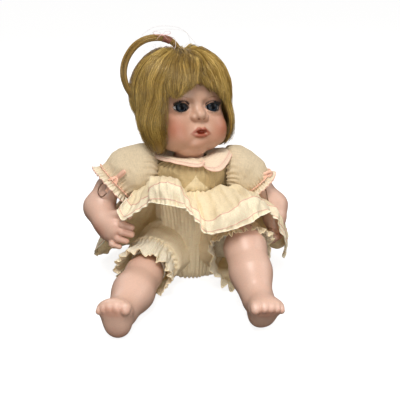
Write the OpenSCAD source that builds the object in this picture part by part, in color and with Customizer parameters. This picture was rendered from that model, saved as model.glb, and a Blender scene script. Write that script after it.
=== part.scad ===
// Seated baby doll: a porcelain head, arms and legs on a stuffed cloth body with disc joints,
// a blonde wig, and a voile romper dress. +Z is up, the doll faces -Y, and +X is its left side.
// The origin lies under the middle of the seat, on the floor. All sizes are in millimetres.

/* [Torso] */
// Half width of the chest
chest_rx = 35; // [34:0.5:36]
// Half depth of the chest
chest_ry = 29; // [28:0.5:30]
// Half width of the torso between the legs
hip_rx = 23; // [22:0.5:23.5]
// Thickness of the muslin body
cover_t = 1.2; // [0.8:0.1:1.4]

/* [Head] */
// Radius of the porcelain neck
neck_r = 14; // [13.5:0.1:14.2]
// Turn of the face towards the doll's left at rest, in degrees
head_yaw = 18; // [0:1:20]
// Tip of the face upwards, in degrees
head_tip = 12; // [8:1:14]
// Radius of the back of the skull
skull_r = 37; // [36:0.5:38]
// Wall of the porcelain
wall = 3; // [2.5:0.1:3.2]
// Radius of a glass eye
eye_r = 8; // [7.5:0.1:8.2]
// Distance from the face's middle to an eye
eye_x = 16; // [15:0.5:17]

/* [Wig] */
// How far the hair stands out from the head
hair_t = 10; // [9:0.5:11]
// Radius of the hank of hair
hank_r = 4.4; // [4:0.1:5]

/* [Arms] */
// Radius of a stuffed upper arm at the shoulder
shoulder_r = 11.5; // [10.5:0.5:12]
// Radius of a joint disc in an arm
arm_disc_r = 8; // [7:0.5:8]

/* [Legs] */
// Radius of a stuffed thigh at the hip
thigh_r = 16; // [15:0.5:16.5]
// Radius of a porcelain leg below the knee
knee_r = 19; // [18:0.5:19.5]
// Radius of a porcelain ankle
ankle_r = 13; // [12:0.5:13.5]
// Radius of a joint disc in a leg
leg_disc_r = 11; // [10:0.5:11]

/* [Dress] */
// Thickness of the skirt with its lining
skirt_t = 1.4; // [1:0.1:1.6]
// Outer radius of the collar
collar_r = 34.2; // [33:0.1:34.2]

/* [Hidden] */
$fn = 48;
soft_fn = 20;
eps = 0.05;
big = 400;

// Neck: the head turns about the upright line through this point at the top of the casing
neck = [-2, -10, 120];
// Where the tipped head is modelled from, low inside the neck
head_origin = [-2.5, -10, 108.3];
casing_r = neck_r + 1.6;
flange_r = neck_r + 3;

// Torso outline from the seat to the shoulders: height, middle, half width, half depth
torso = [[1.4, 6, hip_rx - 4, 29], [5, 6, hip_rx - 1, 33], [12, 6, hip_rx, 35], [44, 6, hip_rx, 34],
    [60, 4, 31, 31], [82, 0, chest_rx, chest_ry], [98, -4, chest_rx - 0.5, chest_ry],
    [108.5, -7, 32.5, 27], [113.6, -9, 28, 22], [116, -10, 19, 19]];
waist_z = 80;
seat_w = 2 * hip_rx - 8;

// Joint axes run across the doll through these points, given for the left side
shoulder = [37.5, -4, 106];
hip = [25.5, 4, 26];
pin_r = 1.5;
pin_gap = 0.05;

// Arm routes: cloth end, elbow, wrist, knuckles, fingertips
arm_l = [shoulder, [58, -8, 96], [80, -12, 70], [80, -34, 67], [79, -45, 65], [77, -53, 60]];
arm_r = [[-37.5, -4, 106], [-63, -9, 99], [-90, -13, 77], [-82, -33, 68], [-74, -43, 63], [-65, -50, 58]];
// Leg routes: knee, ankle, heel
leg_l = [[44, -58, 55], [53, -111, 21], [54.5, -122, 15]];
leg_r = [[-45, -50, 24], [-71, -114, 16], [-75, -126, 14]];

// Skirt: hem radius, hem height and crest height at angles around the doll, where 270 is the front
hem_r = [[0, 84], [20, 97], [50, 84], [90, 68], [130, 84], [160, 106], [180, 92], [200, 58], [215, 54],
    [235, 66], [250, 72], [270, 72], [290, 78], [306, 84], [325, 76], [340, 66], [350, 70], [360, 84]];
hem_z = [[0, 16], [20, 3], [50, 2.5], [90, 2.5], [130, 2.5], [160, 3], [180, 18], [200, 46], [215, 52],
    [235, 58], [250, 62], [270, 66], [290, 71], [306, 79], [325, 63], [340, 50], [350, 36], [360, 16]];
crest_z = [[0, 64], [90, 56], [180, 64], [200, 78], [235, 104], [250, 106], [270, 92], [290, 100],
    [306, 104], [325, 92], [350, 70], [360, 64]];
band_start = 0.8;

// Hank of hair: leaves the crown, arches over to the doll's right and is tucked in again
hank = [[-13, 10, 222], [-20, 10, 228], [-30, 10, 231], [-41, 9, 229], [-51, 8, 222], [-58, 6, 211],
    [-61, 4, 198], [-59, 3, 185], [-53, 2, 174]];

// Height of the open crown in the head's own frame
crown_z = 92;
// Thickness of the plaster behind an eye, and how far it comes forward
setting_t = 2;
setting_rim = -4.6;

function unit(v) = v / norm(v);
function side_of(d) = abs(d[2]) > 0.95 * norm(d) ? [1, 0, 0] : unit(cross(d, [0, 0, 1]));
function ring(c, d, rx, ry, n) =
    let (s = side_of(d), u = unit(cross(s, d)))
    [for (i = [0:n - 1]) c + rx * cos(360 * i / n) * s + ry * sin(360 * i / n) * u];
function tangent(p, i) =
    let (last = len(p) - 1)
    i == 0 ? unit(p[1] - p[0])
    : i == last ? unit(p[last] - p[last - 1])
    : unit(unit(p[i + 1] - p[i]) + unit(p[i] - p[i - 1]));
function reversed(list) = [for (i = [len(list) - 1:-1:0]) list[i]];
function torso_rings(g, lift = 0, from = 0, to = 200) =
    [for (t = torso) if (t[0] >= from && t[0] <= to)
        ring([0, t[1], t[0] + lift], [0, 0, 1], t[2] + g, t[3] + g, 32)];

// Solid skinned over rings that hold the same number of points, with flat ends
module skin(rings) {
    n = len(rings[0]);
    m = len(rings);
    polyhedron(
        points = [for (r = rings) each r],
        faces = [
            [for (i = [n - 1:-1:0]) i],
            [for (i = [0:n - 1]) (m - 1) * n + i],
            for (k = [0:m - 2], i = [0:n - 1], h = [0, 1])
                let (a = k * n + i, b = k * n + (i + 1) % n)
                h == 0 ? [a, b, b + n] : [a, b + n, a + n]
        ]);
}

// Closed wall whose rings run out along one face and back along the other
module skin_loop(rings) {
    n = len(rings[0]);
    m = len(rings);
    polyhedron(
        points = [for (r = rings) each r],
        faces = [
            for (k = [0:m - 1], i = [0:n - 1], h = [0, 1])
                let (a = k * n + i, b = k * n + (i + 1) % n,
                     c = ((k + 1) % m) * n + (i + 1) % n, d = ((k + 1) % m) * n + i)
                h == 0 ? [a, b, c] : [a, c, d]
        ]);
}

// Round limb along a route, with one pair of radii for each of its points
module limb(route, radii, n = 20) {
    skin([for (i = [0:len(route) - 1]) ring(route[i], tangent(route, i), radii[i][0], radii[i][1], n)]);
}

// Open cloth tube along a route
module cloth_tube(route, radii, t, n = 28) {
    outer = [for (i = [0:len(route) - 1]) ring(route[i], tangent(route, i), radii[i], radii[i], n)];
    inner = [for (i = [0:len(route) - 1]) ring(route[i], tangent(route, i), radii[i] - t, radii[i] - t, n)];
    skin_loop(concat(outer, reversed(inner)));
}

// Puts +Z of what it holds along d, at p
module along(p, d) {
    translate(p) rotate([0, acos(d[2] / norm(d)), atan2(d[1], d[0])]) children();
}

// Flat ring with a bore, standing on z = 0
module washer(r, bore, h) {
    difference() {
        cylinder(r = r, h = h);
        translate([0, 0, -eps]) cylinder(r = bore, h = h + 2 * eps);
    }
}

// Round cord bent into a ring
module cord_ring(r, cord) {
    rotate_extrude() translate([r, 0]) circle(r = cord, $fn = 16);
}

// Small ribbon bow: two loops and a knot, lying in the XY plane
module bow(loop_r, ribbon) {
    for (s = [-1, 1]) translate([s * (loop_r + ribbon + 0.4), 0, -ribbon])
        washer(loop_r + ribbon, loop_r - ribbon, 2 * ribbon);
    translate([0, 0, -1.6 * ribbon]) cylinder(r = 1.8 * ribbon, h = 3.2 * ribbon);
}

// ---- torso ----

// Muslin body with a casing round the neck
module torso_cover() color("linen") {
    difference() {
        skin(torso_rings(0));
        skin(concat([ring([0, 6, 1.4 + cover_t], [0, 0, 1], hip_rx - 5, 28, 32)],
            torso_rings(-cover_t, 0, 5, 113.6)));
        translate([neck[0], neck[1], neck[2] - 20]) cylinder(r = casing_r - 0.4, h = 30);
        for (s = [-1, 1]) {
            pin_hole(s, shoulder, 24);
            pin_hole(s, hip, 12);
        }
    }
    translate([neck[0], neck[1], neck[2] - 7.2]) washer(casing_r, neck_r + pin_gap, 7.6);
}

module pin_hole(s, at, from_x) {
    translate([s * from_x, at[1], at[2]]) rotate([0, 90 * s, 0]) cylinder(r = 2.2, h = 30);
}

module torso_filling() color("white") difference() {
    skin(torso_rings(-cover_t - 0.5, -0.6, 12, 109));
    for (s = [-1, 1]) {
        translate([s * 20.4, shoulder[1], shoulder[2]]) rotate([0, 90 * s, 0]) cylinder(r = 9, h = 20);
        translate([s * 11.5, hip[1], hip[2]]) rotate([0, 90 * s, 0]) cylinder(r = 12, h = 20);
    }
    translate([neck[0], neck[1], neck[2] - 13.5]) cylinder(r = flange_r + 1, h = 10);
}

module pellet_bag() color("beige") translate([0, 6, 5.2]) intersection() {
    cylinder(r = 26, h = 6);
    translate([-15, -30, 0]) cube([30, 60, 6]);
}

// Discs inside the torso, which the four joint pins turn in
module torso_discs() color("tan") for (s = [-1, 1]) {
    translate([s * 24.2, shoulder[1], shoulder[2]]) rotate([0, 90 * s, 0])
        washer(arm_disc_r - 1.6, pin_r + pin_gap, 2);
    translate([s * 17, hip[1], hip[2]]) rotate([0, 90 * s, 0]) washer(leg_disc_r, pin_r + pin_gap, 2);
}

module neck_drawstring() color("ivory") translate([neck[0], neck[1], neck[2] - 2.4])
    cord_ring(casing_r + 0.75, 0.7);

// ---- dress ----

module bodice() color("lemonchiffon") difference() {
    skin_loop(concat(torso_rings(2, 0, waist_z, 120), reversed(torso_rings(0.5, 0, waist_z, 120))));
    for (s = [-1, 1])
        translate([s * 30, shoulder[1], shoulder[2]]) rotate([0, 90 * s, 0]) cylinder(r = 13, h = 20);
}

// Buttons down the back, each at its height and as far back as the bodice reaches there
module bodice_buttons() color("ivory") for (b = [[88, 1.9], [96, -0.3], [104, -3.1]]) {
    translate([0, chest_ry + b[1], b[0]]) rotate([-90, 0, 0]) difference() {
        cylinder(r = 3, h = 1.4);
        for (s = [-1, 1]) translate([s, 0, -eps]) cylinder(r = 0.45, h = 2);
    }
}

module neck_binding() color("cornsilk") translate([neck[0], neck[1], neck[2] - 3.4])
    washer(casing_r + 3.2, casing_r + 1.7, 5.6);

// Half of the flat round collar; the halves part in front, a little to the doll's left
module collar_half(from_angle) {
    r_in = casing_r + 3.4;
    translate(neck) rotate([0, 0, from_angle]) rotate_extrude(angle = 166)
        polygon([[r_in, 0.9], [28, -0.4], [collar_r, -4.6], [collar_r + 0.3, -3.3], [28, 1], [r_in, 2.3]]);
}
collar_front = 292;
module collar_left() color("cornsilk") collar_half(collar_front + 3);
module collar_right() color("cornsilk") collar_half(collar_front + 191);

// Point of the skirt at an angle and a share of the way down from the waist
function skirt_point(phi, t, inner) =
    let (w = [norm([(chest_rx + 4) * cos(phi), (chest_ry + 4) * sin(phi)]), 84],
         h = [lookup(phi, hem_r), lookup(phi, hem_z)],
         c = [w[0] + 0.35 * (h[0] - w[0]), lookup(phi, crest_z)],
         fold = 1.3 * t * sin(16 * phi),
         p = (1 - t) * (1 - t) * w + 2 * t * (1 - t) * c + t * t * h,
         r = p[0] - (inner ? skirt_t * 0.7 : 0),
         z = p[1] + fold - (inner ? skirt_t : 0))
    [r * cos(phi), r * sin(phi), max(z, inner ? 0.4 : 0.4 + skirt_t)];
function skirt_ring(t, inner) = [for (i = [0:63]) skirt_point(360 - i * 5.625, t, inner)];
module skirt_piece(from, to, steps) {
    ts = [for (k = [0:steps]) from + (to - from) * k / steps];
    skin_loop(reversed(concat([for (t = ts) skirt_ring(t, false)],
        reversed([for (t = ts) skirt_ring(t, true)]))));
}
module skirt() color("lemonchiffon") skirt_piece(0, band_start, 6);
module skirt_hem_band() color("cornsilk") skirt_piece(band_start, 1, 2);

// Seat and crotch of the bloomers; its flat underside is what the doll sits on
module bloomers() color("lemonchiffon") difference() {
    union() {
        skin_loop(concat(torso_rings(2.2, 0, 5, 61), reversed(torso_rings(0.5, 0, 5, 61))));
        translate([-seat_w / 2, -22, 0]) cube([seat_w, 56, 1.2]);
        for (y = [-22, 32]) translate([-seat_w / 2, y, 0]) cube([seat_w, 2, 6]);
    }
    skin(torso_rings(0.3, 0, 0, 61));
    for (s = [-1, 1])
        translate([s * 20, hip[1], hip[2]]) rotate([0, 90 * s, 0]) cylinder(r = thigh_r + 1, h = 20);
}

// ---- head ----

module in_head() {
    translate(head_origin) rotate([0, 0, head_yaw]) rotate([-head_tip, 0, 0]) children();
}

// The head's rounded form, grown by g on every side
module head_form(g) hull() {
    translate([1, 6, 68]) sphere(r = skull_r + g, $fn = soft_fn);
    translate([0, -9, 66]) sphere(r = 25 + g, $fn = soft_fn);
    for (s = [-1, 1]) translate([s * 13, -7, 42]) sphere(r = 25 + g, $fn = soft_fn);
    translate([0, -14, 34]) sphere(r = 18 + g, $fn = soft_fn);
}

module eye_place(s) {
    translate([s * eye_x, -24, 60]) children();
}

// Eye pivot turned so that +Z looks straight out of the face
module gaze(s) {
    eye_place(s) rotate([90, 0, 0]) children();
}

module head_shell() color("peachpuff") {
    difference() {
        in_head() difference() {
            union() {
                head_form(0);
                translate([0, -34.5, 49]) sphere(r = 6.5);
            }
            head_form(-wall);
            translate([-big / 2, -big / 2, crown_z]) cube(big);
            for (s = [-1, 1]) {
                gaze(s) cylinder(r = 7, h = 20);
                eye_place(s) sphere(r = eye_r + 0.2);
            }
            translate([0, -34, 37]) rotate([90, 0, 0]) cylinder(r = 3.5, h = 10);
        }
        translate([neck[0], neck[1], neck[2] - 14]) cylinder(r = neck_r - wall, h = 50);
    }
    translate([neck[0], neck[1], neck[2] - 11.4]) washer(flange_r, neck_r - wall, 2.6);
    difference() {
        translate([neck[0], neck[1], neck[2] - 11.4]) washer(neck_r, neck_r - wall, 36);
        in_head() head_form(-1);
    }
}

module crown_pate() color("burlywood") in_head() difference() {
    head_form(0);
    head_form(-2);
    translate([-big / 2, -big / 2, crown_z + 0.1 - big]) cube(big);
}

module eyeball(s) color("white") in_head() gaze(s) rotate_extrude() difference() {
    circle(r = eye_r);
    translate([-eye_r, -eye_r]) square([eye_r, 2 * eye_r]);
    translate([0, 4.2]) square([5.6, eye_r]);
}

module iris(s) color("midnightblue") in_head() gaze(s) translate([0, 0, 4.3]) cylinder(r = 5.4, h = 0.8);

module cornea(s) color("lightblue") in_head() intersection() {
    eye_place(s) sphere(r = eye_r);
    gaze(s) translate([0, 0, 5.2]) cylinder(r = 5.4, h = 5);
}

// Plaster bowl that holds the back of an eye
module eye_setting(s) color("gainsboro") in_head() gaze(s) rotate_extrude() difference() {
    circle(r = eye_r + setting_t);
    circle(r = eye_r + 0.25);
    translate([-2 * eye_r, -2 * eye_r]) square([2 * eye_r, 4 * eye_r]);
    translate([0, setting_rim]) square(4 * eye_r);
}

// Upper and lower lashes: fine hairs set round the eye's rim, each a short tapered spike
module lashes(s) color("black") in_head() gaze(s) {
    for (a = [20:14:160]) rotate([0, 0, a]) translate([6, 0, 8.6]) rotate([0, 62, 0])
        cylinder(r1 = 0.3, r2 = 0.1, h = 5, $fn = 16);
    for (a = [215:22:325]) rotate([0, 0, a]) translate([6, 0, 8.6]) rotate([0, 66, 0])
        cylinder(r1 = 0.2, r2 = 0.1, h = 3, $fn = 16);
}

// Space in front of the face that the wig leaves open
module face_window(width, top) {
    translate([-width / 2, -big, -big / 2]) cube([width, big - 6, big / 2 + top]);
}

module wig_cap() color("tan") difference() {
    in_head() difference() {
        head_form(1.1);
        head_form(0.25);
        face_window(66, 84);
    }
    neck_space();
    translate([-big / 2, -big / 2, neck[2] + 14 - big]) cube(big);
}

module neck_space() translate([neck[0], neck[1], neck[2] - 14]) cylinder(r = neck_r + 1, h = 60);

module wig_hair() color("darkkhaki") difference() {
    in_head() difference() {
        head_form(hair_t);
        head_form(1.3);
        face_window(64, 103);
    }
    neck_space();
    translate([-big / 2, -big / 2, neck[2] + 4.5 - big]) cube(big);
}

module wig_fringe() color("darkkhaki") in_head() difference() {
    intersection() {
        head_form(hair_t - 2);
        face_window(63.6, 102.8);
        translate([-big / 2, -big / 2, 75]) cube(big);
    }
    head_form(1.4);
}

module ponytail() color("darkkhaki") difference() {
    limb(hank, [for (i = [0:len(hank) - 1]) (i < 2 ? 0.8 : 1) * hank_r * [1, 1]], 14);
    in_head() head_form(hair_t + 0.05);
}

module ponytail_band() color("rosybrown") along(hank[1], tangent(hank, 1)) washer(hank_r + 1.2, hank_r + 0.1, 2.4);

module ponytail_bow() color("pink") translate([-22, 2.4, 229]) rotate([90, 0, 10]) bow(2.6, 0.6);

// Loose threads of a hair net over the hank
module hair_net() color("mistyrose") for (a = [-24, 0, 24])
    translate([-33, 9, 207]) rotate([90, 0, 0]) rotate([a, 0, 0])
        rotate([0, 0, 52]) rotate_extrude(angle = 100) translate([31, 0]) circle(r = 0.2, $fn = 16);

// ---- arms ----

// Middle of the cloth upper arm, and the way it points at its lower end
function arm_middle(route) = (route[0] + route[1]) / 2 + [0, 0, 1];
function arm_end(route) = tangent([route[0], arm_middle(route), route[1]], 2);

// Stuffed upper arm, hollow round its disc and pin and where the porcelain neck goes in
module upper_arm(route, s) color("linen") difference() {
    limb([route[0], route[0] + [s * 5, 0, 0], arm_middle(route), route[1]],
        [[shoulder_r, shoulder_r], [12.5, 12.5], [12.5, 12.5], [11.5, 11.5]]);
    translate([s * 38.6, shoulder[1], shoulder[2]]) rotate([0, 90 * s, 0])
        cylinder(r = arm_disc_r + 0.2, h = 2.6);
    translate([s * 36, shoulder[1], shoulder[2]]) rotate([0, 90 * s, 0]) cylinder(r = 2.2, h = 4);
    along(route[1], -arm_end(route)) cylinder(r = 7.6, h = 8);
}

// Porcelain forearm with a chubby bent elbow and a half closed hand
module arm(route, s) color("peachpuff") {
    d = arm_end(route);
    e = route[2];
    palm = unit(route[4] - route[3]);
    across = unit(cross(palm, [0, 0, 1]));
    along(route[1] + 0.2 * d, -d) cylinder(r = 7.4, h = 7.6);
    limb([route[1] + 0.2 * d, route[1] + 4.5 * d, route[1] + 0.45 * (e - route[1]), e - 5 * d + [0, 0, 1],
            e + 6 * unit(route[3] - route[1]), (e + route[3]) / 2, route[3], route[4]],
        [[11.4, 11.4], [12.6, 12.6], [13.5, 13.5], [14.5, 14.5], [14.5, 14.5], [13.5, 13], [10.5, 9.5], [12, 7.5]]);
    for (k = [0:3]) {
        base = route[4] + across * (k - 1.5) * 5.2;
        mid = base + palm * 5 + [0, 0, -1];
        hull() {
            translate(base) sphere(r = 4.2, $fn = 12);
            translate(mid) sphere(r = 3.4, $fn = 12);
        }
        hull() {
            translate(mid) sphere(r = 3.4, $fn = 12);
            translate(mid + palm * 4 + [0, 0, -4]) sphere(r = 2.8, $fn = 12);
        }
    }
    hull() {
        translate(route[3] + across * -s * 6) sphere(r = 4.6, $fn = 12);
        translate(route[4] + across * -s * 10.5 + palm * 2) sphere(r = 3.4, $fn = 12);
    }
}

module arm_tie(route) color("ivory")
    along(route[1] - 4 * arm_end(route), arm_end(route)) cord_ring(13.1, 0.6);

// Disc and pin inside the cloth end of a limb, and the lock washer on the pin's other end
module disc_and_pin(s, at, disc_r, disc_x, pin_end) {
    translate([s * disc_x, at[1], at[2]]) rotate([0, 90 * s, 0]) cylinder(r = disc_r, h = 2);
    translate([s * pin_end, at[1], at[2]]) rotate([0, 90 * s, 0]) cylinder(r = pin_r, h = disc_x - pin_end);
    translate([s * (pin_end + 0.5), at[1], at[2]]) rotate([0, 90 * s, 0]) washer(3.6, pin_r, 1.2);
}
module arm_disc(s) color("tan") disc_and_pin(s, shoulder, arm_disc_r, 38.9, 21.4);
module leg_disc(s) color("tan") disc_and_pin(s, hip, leg_disc_r, 27.2, 13);

// Puffed sleeve, gathered at its cuff
function cuff(route) = route[1] + 7 * unit(route[2] - route[1]);
module sleeve(route, s) color("lemonchiffon")
    cloth_tube([route[0] + [s * 0.9, 0, 0], route[0] + [s * 8, -1, 0.4], (route[0] + route[1]) / 2 + [s * 4, -1, 2],
        cuff(route), cuff(route) + 5 * unit(route[2] - route[1])], [17, 21.5, 21.5, 16, 18.5], 1.2);

module sleeve_ribbon(route, s) color("lightsalmon") {
    d = unit(route[2] - route[1]);
    along(cuff(route) - 0.9 * d, d) washer(18.6, 17.6, 2.4);
    along(cuff(route) + 21 * unit([s * 0.5, -1, 0.25]), [0, -1, 0.3]) bow(3, 0.7);
}

// ---- legs ----

// Stuffed thigh: a round end against the hip and a flat end at the knee
module thigh(route, s) color("linen") {
    d = unit(route[1] - route[0]);
    difference() {
        hull() {
            translate([s * hip[0], hip[1], hip[2]]) rotate([0, 90 * s, 0]) cylinder(r = thigh_r, h = 20, $fn = 32);
            along(route[0] - 3 * d, d) cylinder(r = 16.5, h = 3, $fn = 32);
        }
        translate([s * 26.9, hip[1], hip[2]]) rotate([0, 90 * s, 0]) cylinder(r = leg_disc_r + 0.2, h = 2.6);
        translate([s * 24, hip[1], hip[2]]) rotate([0, 90 * s, 0]) cylinder(r = 2.2, h = 5);
        along(route[0] + d, -d) cylinder(r = 11.2, h = 10);
    }
}

// Porcelain leg with a plump calf and a foot that stands square to it
module leg(route, s) color("peachpuff") {
    d = unit(route[1] - route[0]);
    up = unit(cross(cross(d, [0, 0, 1]), d));
    across = unit(cross(d, up));
    heel = route[2];
    along(route[0] + 0.3 * d, -d) cylinder(r = 11, h = 8.6);
    limb([route[0] + 0.2 * d, route[0] + 4 * d, route[0] + 0.45 * (route[1] - route[0]), route[1], heel],
        [[15, 15], [knee_r, knee_r], [knee_r - 1, knee_r - 1], [ankle_r, ankle_r], [12, 12]]);
    hull() {
        translate(heel) sphere(r = 12, $fn = 20);
        for (k = [-1, 1]) translate(heel + up * 12 + across * k * 7 + d * 2) sphere(r = 7.5, $fn = 16);
    }
    for (k = [0:4]) {
        toe_r = k == 0 ? 4.6 : 3.9 - 0.25 * k;
        root = heel + up * (15 - 0.4 * k) + across * s * (9.5 - 4.9 * k) + d * 1;
        hull() {
            translate(root) sphere(r = toe_r, $fn = 12);
            translate(root + up * 3.6 + d * 1.5) sphere(r = toe_r * 0.9, $fn = 12);
        }
    }
    for (k = [-1, 1]) hull() {
        translate(route[1] + across * k * 3) sphere(r = 10, $fn = 16);
        translate(heel + across * k * 5 + up * 6) sphere(r = 8, $fn = 16);
    }
}

module leg_tie(route) color("ivory") {
    d = unit(route[1] - route[0]);
    along(route[0] + 0.95 * d, d) cord_ring(17.3, 0.6);
}

// Leg of the bloomers, loose round the thigh
module bloomer_leg(route, s) color("lemonchiffon") {
    d = unit(route[1] - route[0]);
    difference() {
        hull() {
            translate([s * (hip[0] + 1), hip[1], hip[2]]) rotate([0, 90 * s, 0])
                cylinder(r = thigh_r + 3, h = 22.5, $fn = 32);
            along(route[0] - 3 * d, d) cylinder(r = 20.6, h = 3, $fn = 32);
        }
        hull() {
            translate([s * (hip[0] - 2), hip[1], hip[2]]) rotate([0, 90 * s, 0])
                cylinder(r = thigh_r + 1.2, h = 23.6, $fn = 32);
            along(route[0] - 3 * d, d) cylinder(r = 18.6, h = 5, $fn = 32);
        }
    }
}

module above_floor() difference() {
    children();
    translate([-big / 2, -big / 2, 0.5 - big]) cube(big);
}

// Gathered ruffle at the end of a bloomer leg, flared over the porcelain
function ruffle_ring(c, d, r, wave, n) =
    let (s = side_of(d), u = unit(cross(s, d)))
    [for (i = [0:n - 1]) let (a = 360 * i / n, rr = r + wave * sin(12 * a)) c + rr * (cos(a) * s + sin(a) * u)];
module bloomer_ruffle(route) color("cornsilk") {
    d = unit(route[1] - route[0]);
    c = route[0] + 0.2 * d;
    above_floor() skin_loop([ruffle_ring(c, d, 20.8, 0, 72), ruffle_ring(c + 5 * d, d, 22.4, 0.6, 72),
        ruffle_ring(c + 10 * d, d, 25, 1.6, 72), ruffle_ring(c + 10 * d, d, 23.8, 1.6, 72),
        ruffle_ring(c + 5 * d, d, 21.2, 0.6, 72), ruffle_ring(c, d, 19.6, 0, 72)]);
}

torso_cover();
torso_filling();
pellet_bag();
torso_discs();
neck_drawstring();
bodice();
bodice_buttons();
neck_binding();
collar_left();
collar_right();
skirt();
skirt_hem_band();
bloomers();
head_shell();
crown_pate();
eyeball(1);  // eyeball_left
eyeball(-1);  // eyeball_right
iris(1);  // iris_left
iris(-1);  // iris_right
cornea(1);  // cornea_left
cornea(-1);  // cornea_right
eye_setting(1);  // eye_setting_left
eye_setting(-1);  // eye_setting_right
lashes(1);  // lashes_left
lashes(-1);  // lashes_right
wig_cap();
wig_hair();
wig_fringe();
ponytail();
ponytail_band();
ponytail_bow();
hair_net();
upper_arm(arm_l, 1);  // upper_arm_left
arm(arm_l, 1);  // arm_left
arm_tie(arm_l);  // arm_tie_left
arm_disc(1);  // arm_disc_left
sleeve(arm_l, 1);  // sleeve_left
sleeve_ribbon(arm_l, 1);  // sleeve_ribbon_left
upper_arm(arm_r, -1);  // upper_arm_right
arm(arm_r, -1);  // arm_right
arm_tie(arm_r);  // arm_tie_right
arm_disc(-1);  // arm_disc_right
sleeve(arm_r, -1);  // sleeve_right
sleeve_ribbon(arm_r, -1);  // sleeve_ribbon_right
thigh(leg_l, 1);  // thigh_left
leg(leg_l, 1);  // leg_left
leg_tie(leg_l);  // leg_tie_left
leg_disc(1);  // leg_disc_left
bloomer_leg(leg_l, 1);  // bloomer_leg_left
bloomer_ruffle(leg_l);  // bloomer_ruffle_left
thigh(leg_r, -1);  // thigh_right
leg(leg_r, -1);  // leg_right
leg_tie(leg_r);  // leg_tie_right
leg_disc(-1);  // leg_disc_right
bloomer_leg(leg_r, -1);  // bloomer_leg_right
bloomer_ruffle(leg_r);  // bloomer_ruffle_right
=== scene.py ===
# Seated baby doll: porcelain head, arms and legs, blonde wig, voile romper dress.
# Lengths are in millimetres until a mesh is made. +Z is up, the doll faces -Y, +X is its left side.
import itertools
import math

import bpy
import numpy as np
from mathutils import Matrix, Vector


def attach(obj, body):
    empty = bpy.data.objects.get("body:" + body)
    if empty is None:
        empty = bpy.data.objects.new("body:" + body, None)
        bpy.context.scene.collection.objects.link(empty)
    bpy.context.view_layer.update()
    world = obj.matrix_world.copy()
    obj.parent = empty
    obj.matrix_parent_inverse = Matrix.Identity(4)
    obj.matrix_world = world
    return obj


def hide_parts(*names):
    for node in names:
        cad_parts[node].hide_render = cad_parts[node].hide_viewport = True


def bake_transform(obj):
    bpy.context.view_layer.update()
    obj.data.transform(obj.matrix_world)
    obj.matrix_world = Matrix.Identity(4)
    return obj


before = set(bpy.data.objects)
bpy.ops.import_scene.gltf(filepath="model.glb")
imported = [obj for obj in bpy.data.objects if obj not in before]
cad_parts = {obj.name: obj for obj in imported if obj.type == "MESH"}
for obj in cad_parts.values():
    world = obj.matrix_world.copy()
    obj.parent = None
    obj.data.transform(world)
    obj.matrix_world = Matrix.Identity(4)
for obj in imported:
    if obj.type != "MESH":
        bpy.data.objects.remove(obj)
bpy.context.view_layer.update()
MM = 0.001
V = lambda *a: np.array(a, float)


# ---------------------------------------------------------------- small maths

def unit(v):
    v = np.asarray(v, float)
    return v / np.maximum(np.linalg.norm(v, axis=-1, keepdims=True), 1e-9)


def turn(axis, deg):
    """Rotation matrix about a unit axis."""
    a = math.radians(deg)
    x, y, z = unit(axis)
    c, s, t = math.cos(a), math.sin(a), 1 - math.cos(a)
    return np.array([[t * x * x + c, t * x * y - s * z, t * x * z + s * y],
                     [t * x * y + s * z, t * y * y + c, t * y * z - s * x],
                     [t * x * z - s * y, t * y * z + s * x, t * z * z + c]])


def smooth(a, b, x):
    t = np.clip((x - a) / (b - a), 0, 1)
    return t * t * (3 - 2 * t)


def mix(a, b, t):
    return a + (b - a) * t


def around(n):
    """n angles evenly spaced round a full turn."""
    return np.linspace(0, 2 * np.pi, n, endpoint=False)


def with_ends(p):
    """The rows, with one more row carried on straight at each end."""
    return np.concatenate([2 * p[:1] - p[1:2], p, 2 * p[-1:] - p[-2:-1]])


def spline(q, i, t):
    """Smooth curve from row i + 1 of q to the row after it, at t from 0 to 1."""
    a, b, c, d = q[i], q[i + 1], q[i + 2], q[i + 3]
    return 0.5 * (2 * b + (c - a) * t + (2 * a - 5 * b + 4 * c - d) * t ** 2
                  + (3 * b - a - 3 * c + d) * t ** 3)


def lerp_path(path, n):
    """n points evenly spaced along a smooth line through the given points."""
    p = np.asarray(path, float)
    if len(p) > 2:
        q, t = with_ends(p), np.linspace(0, 1, 12, endpoint=False)[:, None]
        p = np.vstack([spline(q, i, t) for i in range(len(q) - 3)] + [p[-1:]])
    s = np.concatenate([[0], np.cumsum(np.linalg.norm(np.diff(p, axis=0), axis=1))])
    u = np.linspace(0, s[-1], n)
    return np.stack([np.interp(u, s, p[:, k]) for k in range(p.shape[1])], 1)


def frames(path, up=(0, 0, 1)):
    """Tangent, side and normal along a path, carried without twist."""
    t = unit(np.gradient(path, axis=0))
    n = np.zeros_like(t)
    v = np.asarray(up, float)
    for i in range(len(t)):
        v = v - t[i] * (v @ t[i])
        if np.linalg.norm(v) < 1e-6:
            v = np.cross(t[i], [1, 0, 0.1])
        v = v / np.linalg.norm(v)
        n[i] = v
    return t, np.cross(t, n), n


def value_noise(p, seed=0):
    """Smooth noise in -1..1 over points of any count and three coordinates."""
    p = np.asarray(p, float)
    i = np.floor(p).astype(np.int64)
    f = p - i
    f = f * f * (3 - 2 * f)
    out = 0
    for d in itertools.product((0, 1), repeat=3):
        q = i + np.array(d)
        h = (q[..., 0] * 374761393 + q[..., 1] * 668265263 + q[..., 2] * 1274126177
             + seed * 974634777) & 0x7FFFFFFF
        h = ((h ^ (h >> 13)) * 1103515245) & 0x7FFFFFFF
        w = np.prod([f[..., k] if d[k] else 1 - f[..., k] for k in range(3)], axis=0)
        out = out + w * ((h >> 7) % 65536 / 32767.5 - 1)
    return out


def srgb(r, g, b):
    c = np.array([r, g, b], float) / 255
    return np.where(c <= 0.04045, c / 12.92, ((c + 0.055) / 1.055) ** 2.4)


# ---------------------------------------------------------------- meshes

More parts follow.
